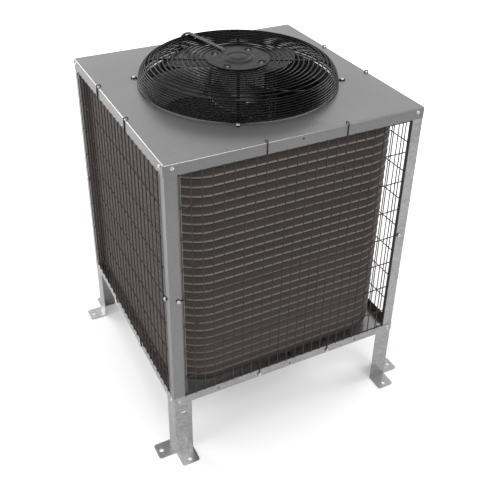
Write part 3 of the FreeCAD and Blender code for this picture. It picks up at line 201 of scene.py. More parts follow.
def galvanised(name, look):
    material, tree, shader = startMaterial(name, look["dark"], look["rough"], look["metallic"])
    place = objectPlace(tree)
    # crystals whose borders wander a little
    drift = addNode(tree, "ShaderNodeTexNoise", {"Vector": place, "Scale": look["driftScale"],
                                                 "Detail": 2.0})
    scaled = addNode(tree, "ShaderNodeVectorMath", {0: drift.outputs["Color"], "Scale": look["drift"]},
                     operation="SCALE")
    warped = addNode(tree, "ShaderNodeVectorMath", {0: place, 1: scaled.outputs[0]}, operation="ADD")
    cells = addNode(tree, "ShaderNodeTexVoronoi",
                    {"Vector": warped.outputs[0], "Scale": look["spangle"]})
    grey = addNode(tree, "ShaderNodeSeparateColor", {0: cells.outputs["Color"]})
    cloud = noise(tree, place, look["cloud"], detail=4.0, roughness=0.55)
    grain = noise(tree, place, look["grain"], detail=2.0)
    mixed = calc(tree, "ADD", calc(tree, "MULTIPLY", grey.outputs[0], look["patch"]),
                 calc(tree, "MULTIPLY", cloud, look["cloudShare"]))
    mixed = calc(tree, "ADD", mixed, calc(tree, "MULTIPLY", grain, look["grainShare"]))
    low, high = look["mixLow"], look["mixHigh"]
    factor = rescale(tree, mixed, low, high, 0.0, 1.0)
    tree.links.new(blendColours(tree, factor, look["dark"], look["light"]), shader.inputs["Base Color"])
    tree.links.new(rescale(tree, mixed, low, high, look["roughHigh"], look["roughLow"]),
                   shader.inputs["Roughness"])
    addBump(tree, shader, mixed, look["bump"], look["bumpDepth"])
    return material


paintLook = {"patches": 60.0, "patchLow": 0.35, "patchHigh": 0.65, "smoother": 0.08, "rougher": 0.1,
             "grain": 900.0, "bump": 0.3, "bumpDepth": 0.0003, "pocketShade": (0.0005, 0.0005, 0.0005),
             "pocketShadeFade": 0.0015}


def paintedWire(name, dark, light, roughness, specular=0.5, shadeBelow=0.0):
    look = paintLook
    material, tree, shader = startMaterial(name, dark, roughness)
    shader.inputs["Specular IOR Level"].default_value = specular
    place = objectPlace(tree)
    patches = rescale(tree, noise(tree, place, look["patches"], detail=4.0), look["patchLow"],
                      look["patchHigh"], 0.0, 1.0)
    colour = blendColours(tree, patches, dark, light)
    if shadeBelow:
        # painted shade: under this level the colour is darkened, as if the pockets lay in shadow
        level = addNode(tree, "ShaderNodeSeparateXYZ", {0: place}).outputs[2]
        unshaded = rescale(tree, level, shadeBelow - look["pocketShadeFade"], shadeBelow, 0.0, 1.0)
        colour = blendColours(tree, unshaded, look["pocketShade"], colour)
    tree.links.new(colour, shader.inputs["Base Color"])
    tree.links.new(rescale(tree, patches, 0.0, 1.0, roughness - look["smoother"],
                           roughness + look["rougher"]), shader.inputs["Roughness"])
    addBump(tree, shader, noise(tree, place, look["grain"], detail=3.0), look["bump"], look["bumpDepth"])
    return material


metalLook = {"patchLow": 0.3, "patchHigh": 0.7, "rougher": 0.08, "smoother": 0.05, "grainTimes": 6,
             "bump": 0.3}


def fineMetal(name, dark, light, metallic, roughness, scale, depth=0.0003):
    look = metalLook
    material, tree, shader = startMaterial(name, dark, roughness, metallic)
    place = objectPlace(tree)
    patches = rescale(tree, noise(tree, place, scale, detail=5.0, roughness=0.6), look["patchLow"],
                      look["patchHigh"], 0.0, 1.0)
    tree.links.new(blendColours(tree, patches, dark, light), shader.inputs["Base Color"])
    tree.links.new(rescale(tree, patches, 0.0, 1.0, roughness + look["rougher"],
                           roughness - look["smoother"]), shader.inputs["Roughness"])
    grain = noise(tree, place, scale * look["grainTimes"], detail=3.0)
    addBump(tree, shader, grain, look["bump"], depth)
    return material


# the row colours are painted light: 'light' is a painted highlight on each row's ledge and 'line' is
# painted shade in the groove under it
finLook = {"pitch": 0.0021, "roughness": 0.55, "metallic": 0.35, "light": (0.29, 0.262, 0.245),
           "line": (0.010, 0.008, 0.007), "band": (0.046, 0.038, 0.034), "bandLow": (0.064, 0.054, 0.049),
           "rowShadeTone": (0.092, 0.077, 0.070), "bandEnd": 0.62,
           "stops": ((0.70, "line"), (0.76, "line"), (0.80, "light"), (0.95, "light"), (1.0, "bandLow")),
           "sideStart": 0.22, "sideEnd": 0.40, "sideShare": 0.75, "lowRow": 15.0, "lowShare": 0.6,
           "finDark": 0.72, "finLight": 1.08, "dirtScale": 3.0, "dirtFrom": 0.3, "dirtTo": 0.7,
           "dirtDark": 0.85, "dirtLight": 1.1, "bump": 0.5, "bumpDepth": 0.0005}


def coilFins(name, look):
    material, tree, shader = startMaterial(name, look["band"], look["roughness"], look["metallic"])
    finPlace = addNode(tree, "ShaderNodeUVMap", uv_map="finMap").outputs[0]
    parts = addNode(tree, "ShaderNodeSeparateXYZ", {0: finPlace})
    along, row = parts.outputs[0], parts.outputs[1]
    share = calc(tree, "FRACT", row)
    ramp = addNode(tree, "ShaderNodeValToRGB", {0: share})
    stops = ramp.color_ramp.elements
    stops[0].position, stops[0].color = 0.0, (*look["bandLow"], 1)
    stops[1].position, stops[1].color = look["bandEnd"], (*look["band"], 1)
    # painted highlight on the ledge and painted shade in the groove, stop by stop
    for position, colour in look["stops"]:
        stop = stops.new(position)
        stop.color = (*look[colour], 1)
    wave = calc(tree, "SINE", calc(tree, "MULTIPLY", along, 2 * pi / look["pitch"]), 0.0)
    fins = rescale(tree, wave, -1.0, 1.0, look["finDark"], look["finLight"])
    dirt = rescale(tree, noise(tree, finPlace, look["dirtScale"], detail=4.0), look["dirtFrom"],
                   look["dirtTo"], look["dirtDark"], look["dirtLight"])
    shade = calc(tree, "MULTIPLY", fins, dirt)
    grey = addNode(tree, "ShaderNodeCombineXYZ", {0: shade, 1: shade, 2: shade})
    # painted shade: low down and round the corners the painted row lines fade into a flat tone, as where
    # less light falls
    beside = rescale(tree, calc(tree, "ABSOLUTE", along), look["sideStart"], look["sideEnd"], 0.0,
                     look["sideShare"])
    below = rescale(tree, row, 0.0, look["lowRow"], look["lowShare"], 0.0)
    rowShadeMask = calc(tree, "MAXIMUM", beside, below)
    coloured = blendColours(tree, rowShadeMask, ramp.outputs[0], look["rowShadeTone"])
    tree.links.new(blendColours(tree, 1.0, coloured, grey.outputs[0], "MULTIPLY"),
                   shader.inputs["Base Color"])
    addBump(tree, shader, wave, look["bump"], look["bumpDepth"])
    return material


sleeveLook = {"dark": (0.022, 0.022, 0.024), "light": (0.070, 0.070, 0.073), "roughness": 0.6,
              "pitch": 0.0022, "upShare": 0.6, "bump": 0.5, "bumpDepth": 0.0005}


def braid(name, look):
    material, tree, shader = startMaterial(name, look["dark"], look["roughness"])
    parts = addNode(tree, "ShaderNodeSeparateXYZ", {0: objectPlace(tree)})
    across = calc(tree, "ADD", parts.outputs[0], parts.outputs[1])
    along = calc(tree, "SUBTRACT", parts.outputs[1], parts.outputs[0])
    waves = [calc(tree, "SINE", calc(tree, "MULTIPLY", value, 2 * pi / look["pitch"]), 0.0)
             for value in (across, along, parts.outputs[2])]
    weave = calc(tree, "ADD", calc(tree, "MULTIPLY", waves[0], waves[1]),
                 calc(tree, "MULTIPLY", waves[2], look["upShare"]))
    threads = rescale(tree, weave, -1.0, 1.0, 0.0, 1.0)
    tree.links.new(blendColours(tree, threads, look["dark"], look["light"]), shader.inputs["Base Color"])
    addBump(tree, shader, weave, look["bump"], look["bumpDepth"])
    return material


zincSheet = galvanised("galvanisedSheet", galvanisedLook)
# a coarser-spangled copy of the sheet finish, made lighter as painted light for the parts that stand in
# more light
litSpangleLook = dict(galvanisedLook, cloud=14.0, spangle=190.0, patch=0.34, dark=(0.26, 0.261, 0.264),
                  light=(0.44, 0.441, 0.444))
litSpangleZinc = galvanised("galvanisedLitSpangle", litSpangleLook)
dullLook = dict(galvanisedLook, metallic=0.5, dark=(0.31, 0.311, 0.314), light=(0.39, 0.391, 0.394))
zincDull = galvanised("galvanisedDull", dullLook)
brownWire = paintedWire("brownWire", dark=(0.042, 0.026, 0.022), light=(0.068, 0.046, 0.040),
                        roughness=0.48, specular=0.25)
satinBlack = paintedWire("satinBlack", dark=(0.0018, 0.0018, 0.002), light=(0.004, 0.004, 0.0043),
                         roughness=0.26, specular=0.11)
# painted shade: the bolt pockets in the plate are painted darker below the given level
plateBlack = paintedWire("plateBlack", dark=(0.005, 0.005, 0.0053), light=(0.009, 0.009, 0.0093),
                         roughness=0.38, specular=0.2, shadeBelow=0.9786)
bladeBlack = paintedWire("bladeBlack", dark=(0.008, 0.008, 0.0083), light=(0.013, 0.013, 0.0135),
                         roughness=0.30, specular=0.6)
softRubber = paintedWire("softRubber", dark=(0.012, 0.012, 0.012), light=(0.022, 0.021, 0.020),
                         roughness=0.62)
glandNylon = paintedWire("glandNylon", dark=(0.10, 0.10, 0.105), light=(0.14, 0.14, 0.145),
                         roughness=0.45)
motorGrey = fineMetal("motorGrey", dark=(0.23, 0.231, 0.234), light=(0.30, 0.301, 0.304),
                      metallic=0.45, roughness=0.42, scale=90.0)
castGrey = fineMetal("castGrey", dark=(0.10, 0.10, 0.105), light=(0.17, 0.17, 0.175),
                     metallic=0.7, roughness=0.5, scale=160.0, depth=0.0006)
brightSteel = fineMetal("brightSteel", dark=(0.38, 0.38, 0.39), light=(0.52, 0.52, 0.53),
                        metallic=1.0, roughness=0.28, scale=200.0)
# a darker copy of the screw finish, painted shade for the screws sitting in the plate's pockets
shadedScrew = fineMetal("shadedScrew", dark=(0.14, 0.14, 0.145), light=(0.22, 0.22, 0.225),
                      metallic=0.9, roughness=0.38, scale=260.0)
screwZinc = fineMetal("screwZinc", dark=(0.50, 0.50, 0.52), light=(0.68, 0.68, 0.70),
                      metallic=0.9, roughness=0.26, scale=260.0)
copperTube = fineMetal("copperTube", dark=(0.46, 0.19, 0.10), light=(0.64, 0.29, 0.17),
                       metallic=1.0, roughness=0.32, scale=45.0)
brassHex = fineMetal("brassHex", dark=(0.52, 0.36, 0.13), light=(0.66, 0.48, 0.20),
                     metallic=1.0, roughness=0.30, scale=90.0)
caseWhite = fineMetal("caseWhite", dark=(0.52, 0.52, 0.50), light=(0.62, 0.62, 0.60),
                      metallic=0.0, roughness=0.42, scale=60.0)
blockCream = fineMetal("blockCream", dark=(0.50, 0.47, 0.40), light=(0.60, 0.57, 0.50),
                       metallic=0.0, roughness=0.48, scale=70.0)
greySleeve = braid("greySleeve", sleeveLook)
finBrown = coilFins("finBrown", finLook)
print("materials ready")


# sheet metal: each piece is a copy of its solid with its edges broken

sheetMetal = {"weld": 0.00002, "flatAngle": 0.5, "foldAngle": 35, "edge": 0.0004, "legEdge": 0.0007}


def dressSolid(node, material, edge, shape=None):
    bm = bmesh.new()
    bm.from_mesh(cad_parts[node].data)
    bmesh.ops.remove_doubles(bm, verts=bm.verts, dist=sheetMetal["weld"])
    bmesh.ops.dissolve_limit(bm, angle_limit=radians(sheetMetal["flatAngle"]), verts=bm.verts,
                             edges=bm.edges, use_dissolve_boundaries=False, delimit={"NORMAL"})
    if shape:
        shape(bm)
    sharp = [one for one in bm.edges if len(one.link_faces) == 2
             and one.calc_face_angle() > radians(sheetMetal["foldAngle"])]
    bmesh.ops.bevel(bm, geom=sharp, offset=edge, segments=2, profile=0.5, affect="EDGES", material=-1,
                    clamp_overlap=True)
    piece = finishPiece(node + "_sheet", bm, material, [node], sharp=30)
    weighted = piece.modifiers.new("flatFaces", "WEIGHTED_NORMAL")
    weighted.keep_sharp = True


topFold = {"radius": 0.0025, "rounder": 0.0042, "near": 0.00006}
collar = {"edge": 0.286, "foot": 0.294, "softFoot": 0.313, "slack": 0.0003}


def softenTop(bm):
    # a rounder fold on the outside, and a collar that fades into the sheet
    old, new = topFold["radius"], topFold["rounder"]
    edge, foot, slack = collar["edge"], collar["foot"], collar["slack"]
    limits = (cabinet["halfWidth"], cabinet["halfDepth"], cabinet["top"])
    for vert in bm.verts:
        past = [max(0.0, abs(value) - limit + old) for value, limit in zip(vert.co, limits)]
        if abs(Vector(past).length - old) < topFold["near"]:
            for axis, value in enumerate(past):
                if value > 0:
                    side = 1 if vert.co[axis] > 0 else -1
                    vert.co[axis] = side * (limits[axis] - new + value * new / old)
        away = hypot(vert.co.x, vert.co.y)
        rise = vert.co.z - cabinet["top"]
        if edge + slack < away < foot + slack and rise > -slack:
            moved = edge + (away - edge) / (foot - edge) * (collar["softFoot"] - edge)
            vert.co.x *= moved / away
            vert.co.y *= moved / away


sheetNodes = ["base_pan", "top_panel", "post_front_left", "post_front_right", "post_rear_right",
              "post_rear_left", "rear_panel", "terminal_box", "terminal_box_cover", "coil_end_plate_left",
              "coil_end_plate_right", "coil_support_front", "coil_support_left", "coil_support_right"]
# painted light: the pan and the front-right post take the lighter copy of the finish
ownFinish = {"base_pan": litSpangleZinc, "post_front_right": litSpangleZinc, "rear_panel": zincDull}
for node in sheetNodes:
    dressSolid(node, ownFinish.get(node, zincSheet), sheetMetal["edge"],
               softenTop if node == "top_panel" else None)
for corner in ("front_left", "front_right", "rear_right", "rear_left"):
    dressSolid("leg_" + corner, litSpangleZinc, sheetMetal["legEdge"])
print("sheet metal ready")


# coil: a finned slab bent round three sides, rippled row by row

coil = {"outerX": 0.326, "outerY": 0.3195, "endY": 0.3015, "thick": 0.028, "cornerRadius": 0.110,
        "cornerSteps": 20, "top": 0.874, "rows": 26, "rowPitch": 0.0254, "ledge": 0.0012,
        "groove": 0.0016,
        "rowShape": ((0.0, 0.0), (0.35, 0.0), (0.70, -0.4), (0.76, -1.0), (0.80, 0.85), (0.95, 1.0))}


def buildCoil(size):
    bm = bmesh.new()
    pitch, rows = size["rowPitch"], size["rows"]
    bottom = size["top"] - rows * pitch
    outer, inner = -size["outerX"], -size["outerX"] + size["thick"]
    profile = []
    for row in range(rows):
        level = bottom + row * pitch
        for share, out in size["rowShape"]:
            reach = out * (size["ledge"] if out > 0 else size["groove"])
            profile.append((outer - reach, level + share * pitch))
    profile.append((outer, size["top"]))
    profile.append((inner, size["top"]))
    profile.append((inner, bottom))
    verts = [bm.verts.new((x, size["endY"], z)) for x, z in profile]
    edges = [bm.edges.new(pair) for pair in zip(verts, verts[1:] + verts[:1])]
    first = list(edges)
    cornerY = -size["outerY"] + size["cornerRadius"]
    cornerX = size["outerX"] - size["cornerRadius"]
    edges = pull(bm, edges, (0, cornerY - size["endY"], 0))
    edges = bend(bm, edges, (-cornerX, cornerY, 0), (0, 0, 1), pi / 2, size["cornerSteps"])
    edges = pull(bm, edges, (2 * cornerX, 0, 0))
    edges = bend(bm, edges, (cornerX, cornerY, 0), (0, 0, 1), pi / 2, size["cornerSteps"])
    edges = pull(bm, edges, (0, size["endY"] - cornerY, 0))
    bmesh.ops.holes_fill(bm, edges=first + edges, sides=0)
    bmesh.ops.remove_doubles(bm, verts=bm.verts, dist=weldDistance)
    layer = bm.loops.layers.uv.new("finMap")
    radius = size["cornerRadius"]
    for face in bm.faces:
        middle = face.calc_center_median()
        side = -1 if middle.x < 0 else 1
        for loop in face.loops:
            place = loop.vert.co
            if abs(middle.x) > cornerX and middle.y < cornerY:
                turned = atan2(abs(place.x) - cornerX, cornerY - place.y)
                along = side * (cornerX + radius * turned)
            elif abs(middle.x) > cornerX:
                along = side * (cornerX + radius * pi / 2 + place.y - cornerY)
            else:
                along = place.x
            loop[layer].uv = (along, (place.z - bottom) / pitch)
    finishPiece("coil_finned_slab", bm, finBrown, ["coil_fins"], sharp=50, merge=False)


buildCoil(coil)
print("coil ready")


# wire guards on the front and the two sides

guard = {"wire": 0.0015, "wires": 24, "rowPitch": 0.0873, "rows": 8, "edgeInset": 0.036,
         "topLevel": 0.88225, "lowLevel": 0.21075, "screwLevel": 0.194, "hookTop": 0.9185,
         "hookReach": 0.0095, "hookTip": 0.909, "hookBend": 0.0028, "hookWires": (8, 16),
         "eye": 0.0040, "eyeSteps": 18, "eyeEnd": 0.0045, "clipInset": 0.024, "clipRow": 4,
         "nugget": 0.0021}
clipLevel = guard["topLevel"] - guard["clipRow"] * guard["rowPitch"]


def addEye(bm, centre):
    start = Vector(centre) + Vector((guard["eye"], 0, 0))
    ring = bmesh.ops.create_circle(bm, segments=wireSides, radius=guard["wire"],
                                   matrix=Matrix.Translation(start))["verts"]
    bmesh.ops.spin(bm, geom=ring + edgesAmong(ring), cent=centre, axis=(0, 1, 0), angle=2 * pi,
                   steps=guard["eyeSteps"], use_merge=True, use_duplicate=False)


def wirePlace(index, halfSpan):
    edge = halfSpan - guard["edgeInset"]
    return -edge + index * 2 * edge / (guard["wires"] - 1)


def buildGuard(name, node, halfSpan, hooks, turn, shift):
    bm = bmesh.new()
    wire = guard["wire"]
    reach, hookTop = guard["hookReach"], guard["hookTop"]
    edge = halfSpan - guard["edgeInset"]
    levels = [guard["topLevel"] - row * guard["rowPitch"] for row in range(guard["rows"])]
    levels.append(guard["lowLevel"])
    for index in range(guard["wires"]):
        x = wirePlace(index, halfSpan)
        if index in hooks:
            addBentRod(bm, [(x, -wire, guard["screwLevel"] + guard["eye"]), (x, -wire, hookTop),
                            (x, reach, hookTop), (x, reach, guard["hookTip"])],
                       wire, [guard["hookBend"]] * 2)
            addEye(bm, (x, -wire, guard["screwLevel"]))
        else:
            addRod(bm, (x, -wire, guard["lowLevel"] - wire), (x, -wire, guard["topLevel"] + wire), wire)
        for level in levels:
            bmesh.ops.create_icosphere(bm, subdivisions=1, radius=guard["nugget"],
                                       matrix=Matrix.Translation((x, 0, level)))
    for level in levels:
        addRod(bm, (-edge - wire, wire, level), (edge + wire, wire, level), wire)
    for side in (-1, 1):
        eyePlace = side * (halfSpan - guard["clipInset"])
        addEye(bm, (eyePlace, 0, clipLevel))
        addRod(bm, (side * edge, 0, clipLevel), (eyePlace - side * guard["eyeEnd"], 0, clipLevel), wire)
    bmesh.ops.transform(bm, matrix=Matrix.Translation(shift) @ Matrix.Rotation(radians(turn), 4, "Z"),
                        verts=bm.verts)
    finishPiece(name, bm, brownWire, [node], sharp=50)


buildGuard("front_guard_wires", "front_guard", cabinet["halfWidth"], guard["hookWires"], turn=0,
           shift=(0, -cabinet["halfDepth"], 0))
# the left one is turned the other way, so its hooks are counted from the other end
backHooks = [guard["wires"] - 1 - hook for hook in guard["hookWires"]]
buildGuard("left_guard_wires", "left_guard", cabinet["halfDepth"], backHooks, turn=-90,
           shift=(-cabinet["halfWidth"], 0, 0))
buildGuard("right_guard_wires", "right_guard", cabinet["halfDepth"], guard["hookWires"], turn=90,
           shift=(cabinet["halfWidth"], 0, 0))
print("side guards ready")


# fan guard: welded rings, flat arms, and the pressed plate the motor hangs from

fanGuard = {"wire": 0.0019, "shoulderCentre": 0.210, "shoulderLevel": 0.924, "shoulderRadius": 0.054,
            "shoulderRings": 7, "closeStep": 8, "footWire": 0.0027, "crownLevel": 0.97705,
            "crownRings": 9, "innerRadius": 0.095, "armAngle": 63.6, "armWidth": 0.007,
            "armSheet": 0.003, "collarHeight": 0.005, "footEnd": 0.284, "footBend": 0.004,
            "armEnd": 0.0725, "bendSteps": 9}


def addRing(bm, radius, level, wire):
    ring = bmesh.ops.create_circle(bm, segments=wireSides, radius=wire,
                                   matrix=Matrix.Translation((radius, 0, level))
                                   @ Matrix.Rotation(pi / 2, 4, "X"))["verts"]
    bmesh.ops.spin(bm, geom=ring + edgesAmong(ring), cent=(0, 0, 0), axis=(0, 0, 1), angle=2 * pi,
                   steps=turnSteps, use_merge=True, use_duplicate=False)


def buildFanGuard(size):
    bm = bmesh.new()
    halfSteps = 2 * size["shoulderRings"]
    for step in range(halfSteps):
        # the steep part has rings at the half steps too
        if step % 2 and step > size["closeStep"]:
            continue
        angle = pi / 2 * step / halfSteps
        addRing(bm, size["shoulderCentre"] + size["shoulderRadius"] * cos(angle),
                size["shoulderLevel"] + size["shoulderRadius"] * sin(angle),
                size["wire"] if step else size["footWire"])
    finishPiece("fan_guard_shoulder", bm, satinBlack, ["guard_shoulder_rings"], sharp=60)
    bm = bmesh.new()
    spacing = (size["shoulderCentre"] - size["innerRadius"]) / size["crownRings"]
    for step in range(size["crownRings"] + 1):
        addRing(bm, size["shoulderCentre"] - step * spacing, size["crownLevel"], size["wire"])
    finishPiece("fan_guard_crown", bm, satinBlack, ["guard_crown_rings"], sharp=60)


def buildArms(size):
    bm = bmesh.new()
    under = size["shoulderRadius"] - 1.5 * size["wire"] - size["armSheet"] / 2
    foot = cabinet["top"] + size["collarHeight"] + size["armSheet"] / 2
    centre, level = size["shoulderCentre"], size["shoulderLevel"]
    for quarter in range(4):
        turn = Matrix.Rotation(radians(size["armAngle"] + 90 * quarter), 4, "Z")
        points = [turn @ Vector(place) for place in (
            (size["footEnd"], 0, foot), (centre + under, 0, foot), (centre + under, 0, level + under),
            (size["armEnd"], 0, level + under))]
        upright = turn @ Matrix.Rotation(-pi / 2, 4, "Y")
        section = Matrix.Diagonal((size["armSheet"], size["armWidth"], 1, 1))
        grid = bmesh.ops.create_grid(bm, x_segments=1, y_segments=1, size=0.5,
                                     matrix=Matrix.Translation(points[0]) @ upright @ section)["verts"]
        faces = list({face for vert in grid for face in vert.link_faces})
        loop = edgesAmong(grid)
        bmesh.ops.delete(bm, geom=faces, context="FACES_ONLY")
        sweepLoop(bm, loop, points, [size["footBend"], under], size["bendSteps"])
    finishPiece("fan_guard_arms", bm, satinBlack, ["guard_struts"], sharp=30)


buildFanGuard(fanGuard)
buildArms(fanGuard)

# the plate's section runs from the middle out and back underneath; its flat has many rings, so that
# the pockets round the four bolts can be pushed down into it
motorPlate = {"level": 0.97515, "boltRadius": 0.0665, "boltAngle": 39.4, "pocket": 0.0125,
              "pocketWall": 0.0018, "floor": 0.0006, "turnSteps": 180, "flat": 0.0044,
              "flatStart": 0.045, "flatStep": 0.0018, "flatSteps": 19,
              "dome": ((0.0, 0.0086), (0.012, 0.0084), (0.021, 0.0078), (0.0245, 0.0062),
                       (0.030, 0.0062), (0.034, 0.0080), (0.0375, 0.0078), (0.0410, 0.0050),
                       (0.0435, 0.0044)),
              "rim": ((0.0795, 0.0050), (0.0818, 0.0052), (0.0835, 0.0042), (0.084, 0.0020),
                      (0.0838, 0.0003)),
              "under": ((0.080, 0.0), (0.043, 0.0), (0.038, 0.0035), (0.0, 0.0045))}


def buildMotorPlate(size):
    bm = bmesh.new()
    base = size["level"]
    profile = list(size["dome"])
    for step in range(size["flatSteps"]):
        profile.append((size["flatStart"] + size["flatStep"] * step, size["flat"]))
    profile += size["rim"] + size["under"]
    addTurned(bm, [(radius, base + height) for radius, height in profile], size["turnSteps"])
    for quarter in range(4):
        angle = radians(size["boltAngle"] + 90 * quarter)
        middle = Vector((size["boltRadius"] * cos(angle), size["boltRadius"] * sin(angle)))
        for vert in bm.verts:
            away = (Vector(vert.co[:2]) - middle).length
            if away < size["pocket"] and vert.co.z > base + size["floor"]:
                share = min(1.0, (size["pocket"] - away) / size["pocketWall"])
                vert.co.z += (base + size["floor"] - vert.co.z) * share
    finishPiece("motor_plate_pressing", bm, plateBlack, ["motor_plate"], sharp=40)


buildMotorPlate(motorPlate)
print("fan guard ready")


# fan: outer-rotor motor can and five swept blades

# the can's section: under the floor, round the rim, up the side, and down inside to the bore
rotor = {"bottom": 0.87715,
         "section": ((0.0076, 0.0), (0.020, 0.0), (0.022, 0.0012), (0.048, 0.0012), (0.050, 0.0),
                     (0.0745, 0.0), (0.076, 0.0008), (0.076, 0.0032), (0.0745, 0.004), (0.0712, 0.004),
                     (0.070, 0.0055), (0.070, 0.030), (0.0695, 0.0308), (0.0695, 0.0322),
                     (0.070, 0.033), (0.070, 0.087), (0.068, 0.089), (0.061, 0.089), (0.061, 0.005),
                     (0.015, 0.005), (0.015, 0.017), (0.0076, 0.017))}


def buildRotor(size):
    bm = bmesh.new()
    addTurned(bm, [(radius, size["bottom"] + height) for radius, height in size["section"]], closed=True)
    finishPiece("motor_can", bm, motorGrey, ["fan_rotor"], sharp=30, body="impeller")


blade = {"rootRadius": 0.070, "tipRadius": 0.248, "rootChord": 0.096, "tipChord": 0.117,
         "rootPitch": 34.0, "tipPitch": 16.0, "sweep": 31.0, "camber": 0.05, "level": 0.90815,
         "tipLift": 0.012, "sheet": 0.002, "firstAngle": 11.0, "count": 5, "rootOverlap": 0.0006,
         "roundFrom": 0.9, "rounding": 0.10, "outSteps": 22, "acrossSteps": 16, "edge": 0.0006,
         "edgeAngle": 50, "passes": 6}


def bladePoint(size, radius, across):
    # a point of the blade's lower face at a true radius, across running -1 to 1 from the high edge
    root, tip = size["rootRadius"], size["tipRadius"]
    section = radius
    # a few passes settle which section passes through the point
    for attempt in range(size["passes"]):
        share = max(0.0, (section - root) / (tip - root))
        chord = size["rootChord"] * (1 - share) + size["tipChord"] * share
        pitch = radians(size["rootPitch"] * (1 - share) + size["tipPitch"] * share)
        along = across * chord / 2
        up = -size["camber"] * chord * (1 - across ** 2)
        flat = along * cos(pitch) + up * sin(pitch)
        section = sqrt(radius ** 2 - flat ** 2)
    height = size["level"] + size["tipLift"] * share - along * sin(pitch) + up * cos(pitch)
    swept = radians(size["sweep"] * share ** 2)
    return Vector((section * cos(swept) - flat * sin(swept),
                   section * sin(swept) + flat * cos(swept), height))


def buildBlades(size):
    start = size["rootRadius"] - size["rootOverlap"]
    for index in range(size["count"]):
        number = str(index + 1)
        bm = bmesh.new()
        turn = Matrix.Rotation(radians(size["firstAngle"] + 360 / size["count"] * index), 3, "Z")
        bmesh.ops.create_grid(bm, x_segments=size["outSteps"], y_segments=size["acrossSteps"], size=1)
        for vert in bm.verts:
            out, across = (vert.co.x + 1) / 2, vert.co.y
            past = max(0.0, (out - size["roundFrom"]) / (1 - size["roundFrom"]))
            rounding = 1 - size["rounding"] * past ** 2
            radius = start + (size["tipRadius"] - start) * out
            vert.co = turn @ bladePoint(size, radius, across * rounding)
        bmesh.ops.recalc_face_normals(bm, faces=bm.faces)
        if sum(face.normal.z for face in bm.faces) < 0:
            bmesh.ops.reverse_faces(bm, faces=bm.faces)
        bmesh.ops.solidify(bm, geom=bm.faces, thickness=-size["sheet"])
        rim = [edge for edge in bm.edges if edge.calc_face_angle(0) > radians(size["edgeAngle"])]
        bmesh.ops.bevel(bm, geom=rim, offset=size["edge"], segments=2, profile=0.5, affect="EDGES",
                        material=-1, clamp_overlap=True)
        finishPiece("blade_" + number, bm, bladeBlack, ["fan_blade_" + number], sharp=40,
                    body="impeller")


buildRotor(rotor)
buildBlades(blade)
print("fan ready")


# screws, bolts and nuts

screwHead = {"flange": 0.0052, "flangeHeight": 0.0007, "across": 0.0044, "height": 0.0026,
             "shank": 0.0018, "length": 0.009}
headShape = {"flangeSides": 16, "flangeTaper": 0.93, "hexTaper": 0.97, "edge": 0.0003}


def addScrew(bm, place, direction, size):
    at = Matrix.Translation(place) @ facing(direction)
    flange, across, flangeHeight = size["flange"], size["across"], size["flangeHeight"]
    bmesh.ops.create_cone(bm, cap_ends=True, segments=headShape["flangeSides"], radius1=flange,
                          radius2=flange * headShape["flangeTaper"], depth=flangeHeight,
                          matrix=at @ Matrix.Translation((0, 0, flangeHeight / 2)))
    middle = (size["height"] + flangeHeight) / 2
    hexagon = bmesh.ops.create_cone(bm, cap_ends=True, segments=6, radius1=across,
                                    radius2=across * headShape["hexTaper"],
                                    depth=size["height"] - flangeHeight,
                                    matrix=at @ Matrix.Translation((0, 0, middle)))["verts"]
    bmesh.ops.bevel(bm, geom=edgesAmong(hexagon), offset=headShape["edge"], segments=1, profile=0.5,
                    affect="EDGES", material=-1, clamp_overlap=True)
    addRod(bm, place, Vector(place) - Vector(direction).normalized() * size["length"], size["shank"])


def facePlaces(inset, level, out=0.0):
    # two places near the corners of each of the four faces
    width, depth = cabinet["halfWidth"], cabinet["halfDepth"]
    places = []
    for side in (-1, 1):
        places.append(((side * (width - inset), -depth - out, level), (0, -1, 0)))
        places.append(((side * (width - inset), depth + out, level), (0, 1, 0)))
        places.append(((-width - out, side * (depth - inset), level), (-1, 0, 0)))
        places.append(((width + out, side * (depth - inset), level), (1, 0, 0)))
    return places


def guardScrewPlaces():
    width, depth, level = cabinet["halfWidth"], cabinet["halfDepth"], guard["screwLevel"]
    out = 2 * guard["wire"]
    places = []
    for hook in guard["hookWires"]:
        places.append(((wirePlace(hook, width), -depth - out, level), (0, -1, 0)))
        places.append(((-width - out, wirePlace(hook, depth), level), (-1, 0, 0)))
        places.append(((width + out, wirePlace(hook, depth), level), (1, 0, 0)))
    return places + [one for one in facePlaces(guard["clipInset"], clipLevel, guard["wire"])
                     if one[1] != (0, 1, 0)]


def ringPlaces(radius, level, firstAngle):
    angles = [radians(firstAngle + 90 * quarter) for quarter in range(4)]
    return [((radius * cos(angle), radius * sin(angle), level), (0, 0, 1)) for angle in angles]


def buildScrews(name, node, places, size=screwHead, material=screwZinc):
    bm = bmesh.new()
    for place, direction in places:
        addScrew(bm, place, direction, size)
    finishPiece(name, bm, material, [node], sharp=30, merge=False)


